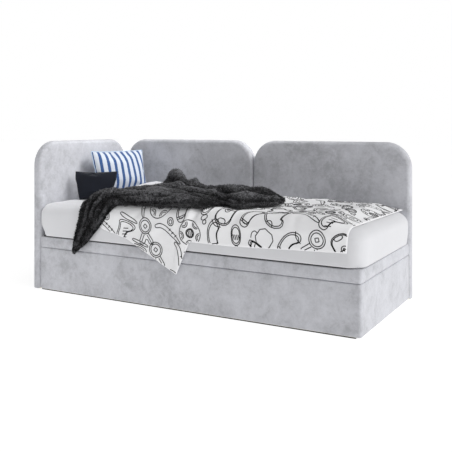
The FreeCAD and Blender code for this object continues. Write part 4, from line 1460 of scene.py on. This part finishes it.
# --- CAD pieces that stay ---
def dress_frame():
    by_slot = {
        "grey_velvet": VELVET,
        "back_lining": LINING,
        "foam": foam_material(),
        "raw_board": board_material(),
        "pine": wood_material("pine", (0.46, 0.29, 0.13), (0.74, 0.55, 0.32)),
        "white_hdf": hardboard_material(),
        "beech": wood_material("beech", (0.42, 0.25, 0.12), (0.66, 0.45, 0.25), "Y", 0.4),
        "black_plastic": plastic_material(),
        "zinc_steel": ZINC,
        "black_metal": painted_steel_material(),
        "chrome_rod": bright_steel_material("chrome_rod", (0.80, 0.81, 0.83), 0.08, 0.16),
        "mattress_cloth": woven("mattress_cloth", (0.80, 0.80, 0.81), 0.003, 0.0008).material,
        "white_sheet": SHEET_CLOTH,
        "printed_cotton": PRINTED,
        "black_fur": FUR,
        "navy_cloth": NAVY,
        "striped_cloth": STRIPED,
    }
    for part in frame["record"]["subparts"]:
        node = frame["nodes"].get(part["node"])
        if node is not None:
            for material_slot in node.material_slots:
                material_slot.material = by_slot[part["material_slot"]]


VELVET = velvet_material()
SHEET_CLOTH = woven("white_sheet", (0.69, 0.693, 0.715), 0.0009, 0.0002, uneven=0.015).material
PRINTED = woven("printed_cotton", (0.90, 0.90, 0.915), 0.001, 0.0002, uneven=0.015).material
INK = woven("print_ink", (0.006, 0.006, 0.007), 0.001, 0.0002, sheen=0).material
FUR = fur_material()
NAVY = woven("navy_cloth", (0.007, 0.009, 0.016), 0.0012, 0.0004, sheen=0.1, uneven=0.2).material
PIPING = woven("piping_cloth", (0.55, 0.66, 0.80), 0.0014, 0.0003).material
STRIPED = striped_material(9, STRIPED_WIDTH)
LINING = lining_material()
ZINC = bright_steel_material("zinc_steel", (0.62, 0.63, 0.65), 0.28, 0.42, 0.1)

bpy.context.scene.view_settings.view_transform = "Standard"
make_camera()
make_world()
make_stage()
centre = (0, 0, 0.4)
area_light("key_from_foot", (7.5, 0.4, 6.5), centre, 4.0, 202)
area_light("overhead", (-0.75, -0.15, 3.0), (-0.65, -0.15, 0.5), 1.4, 6.5, 120)
area_light("front_left", (-1.6, -2.2, 1.0), (-0.8, -0.4, 0.3), 0.5, 0.24, 32)
area_light("headboard_fill", (1.3, 0.75, 2.7), (-1.0, 0.1, 0.55), 1.0, 3.9, 56)
dress_frame()
make_panels()
make_staples()
make_box_covers()
make_mattress()
make_print(*make_quilt())
throw, pile = make_throw()
make_cushions()
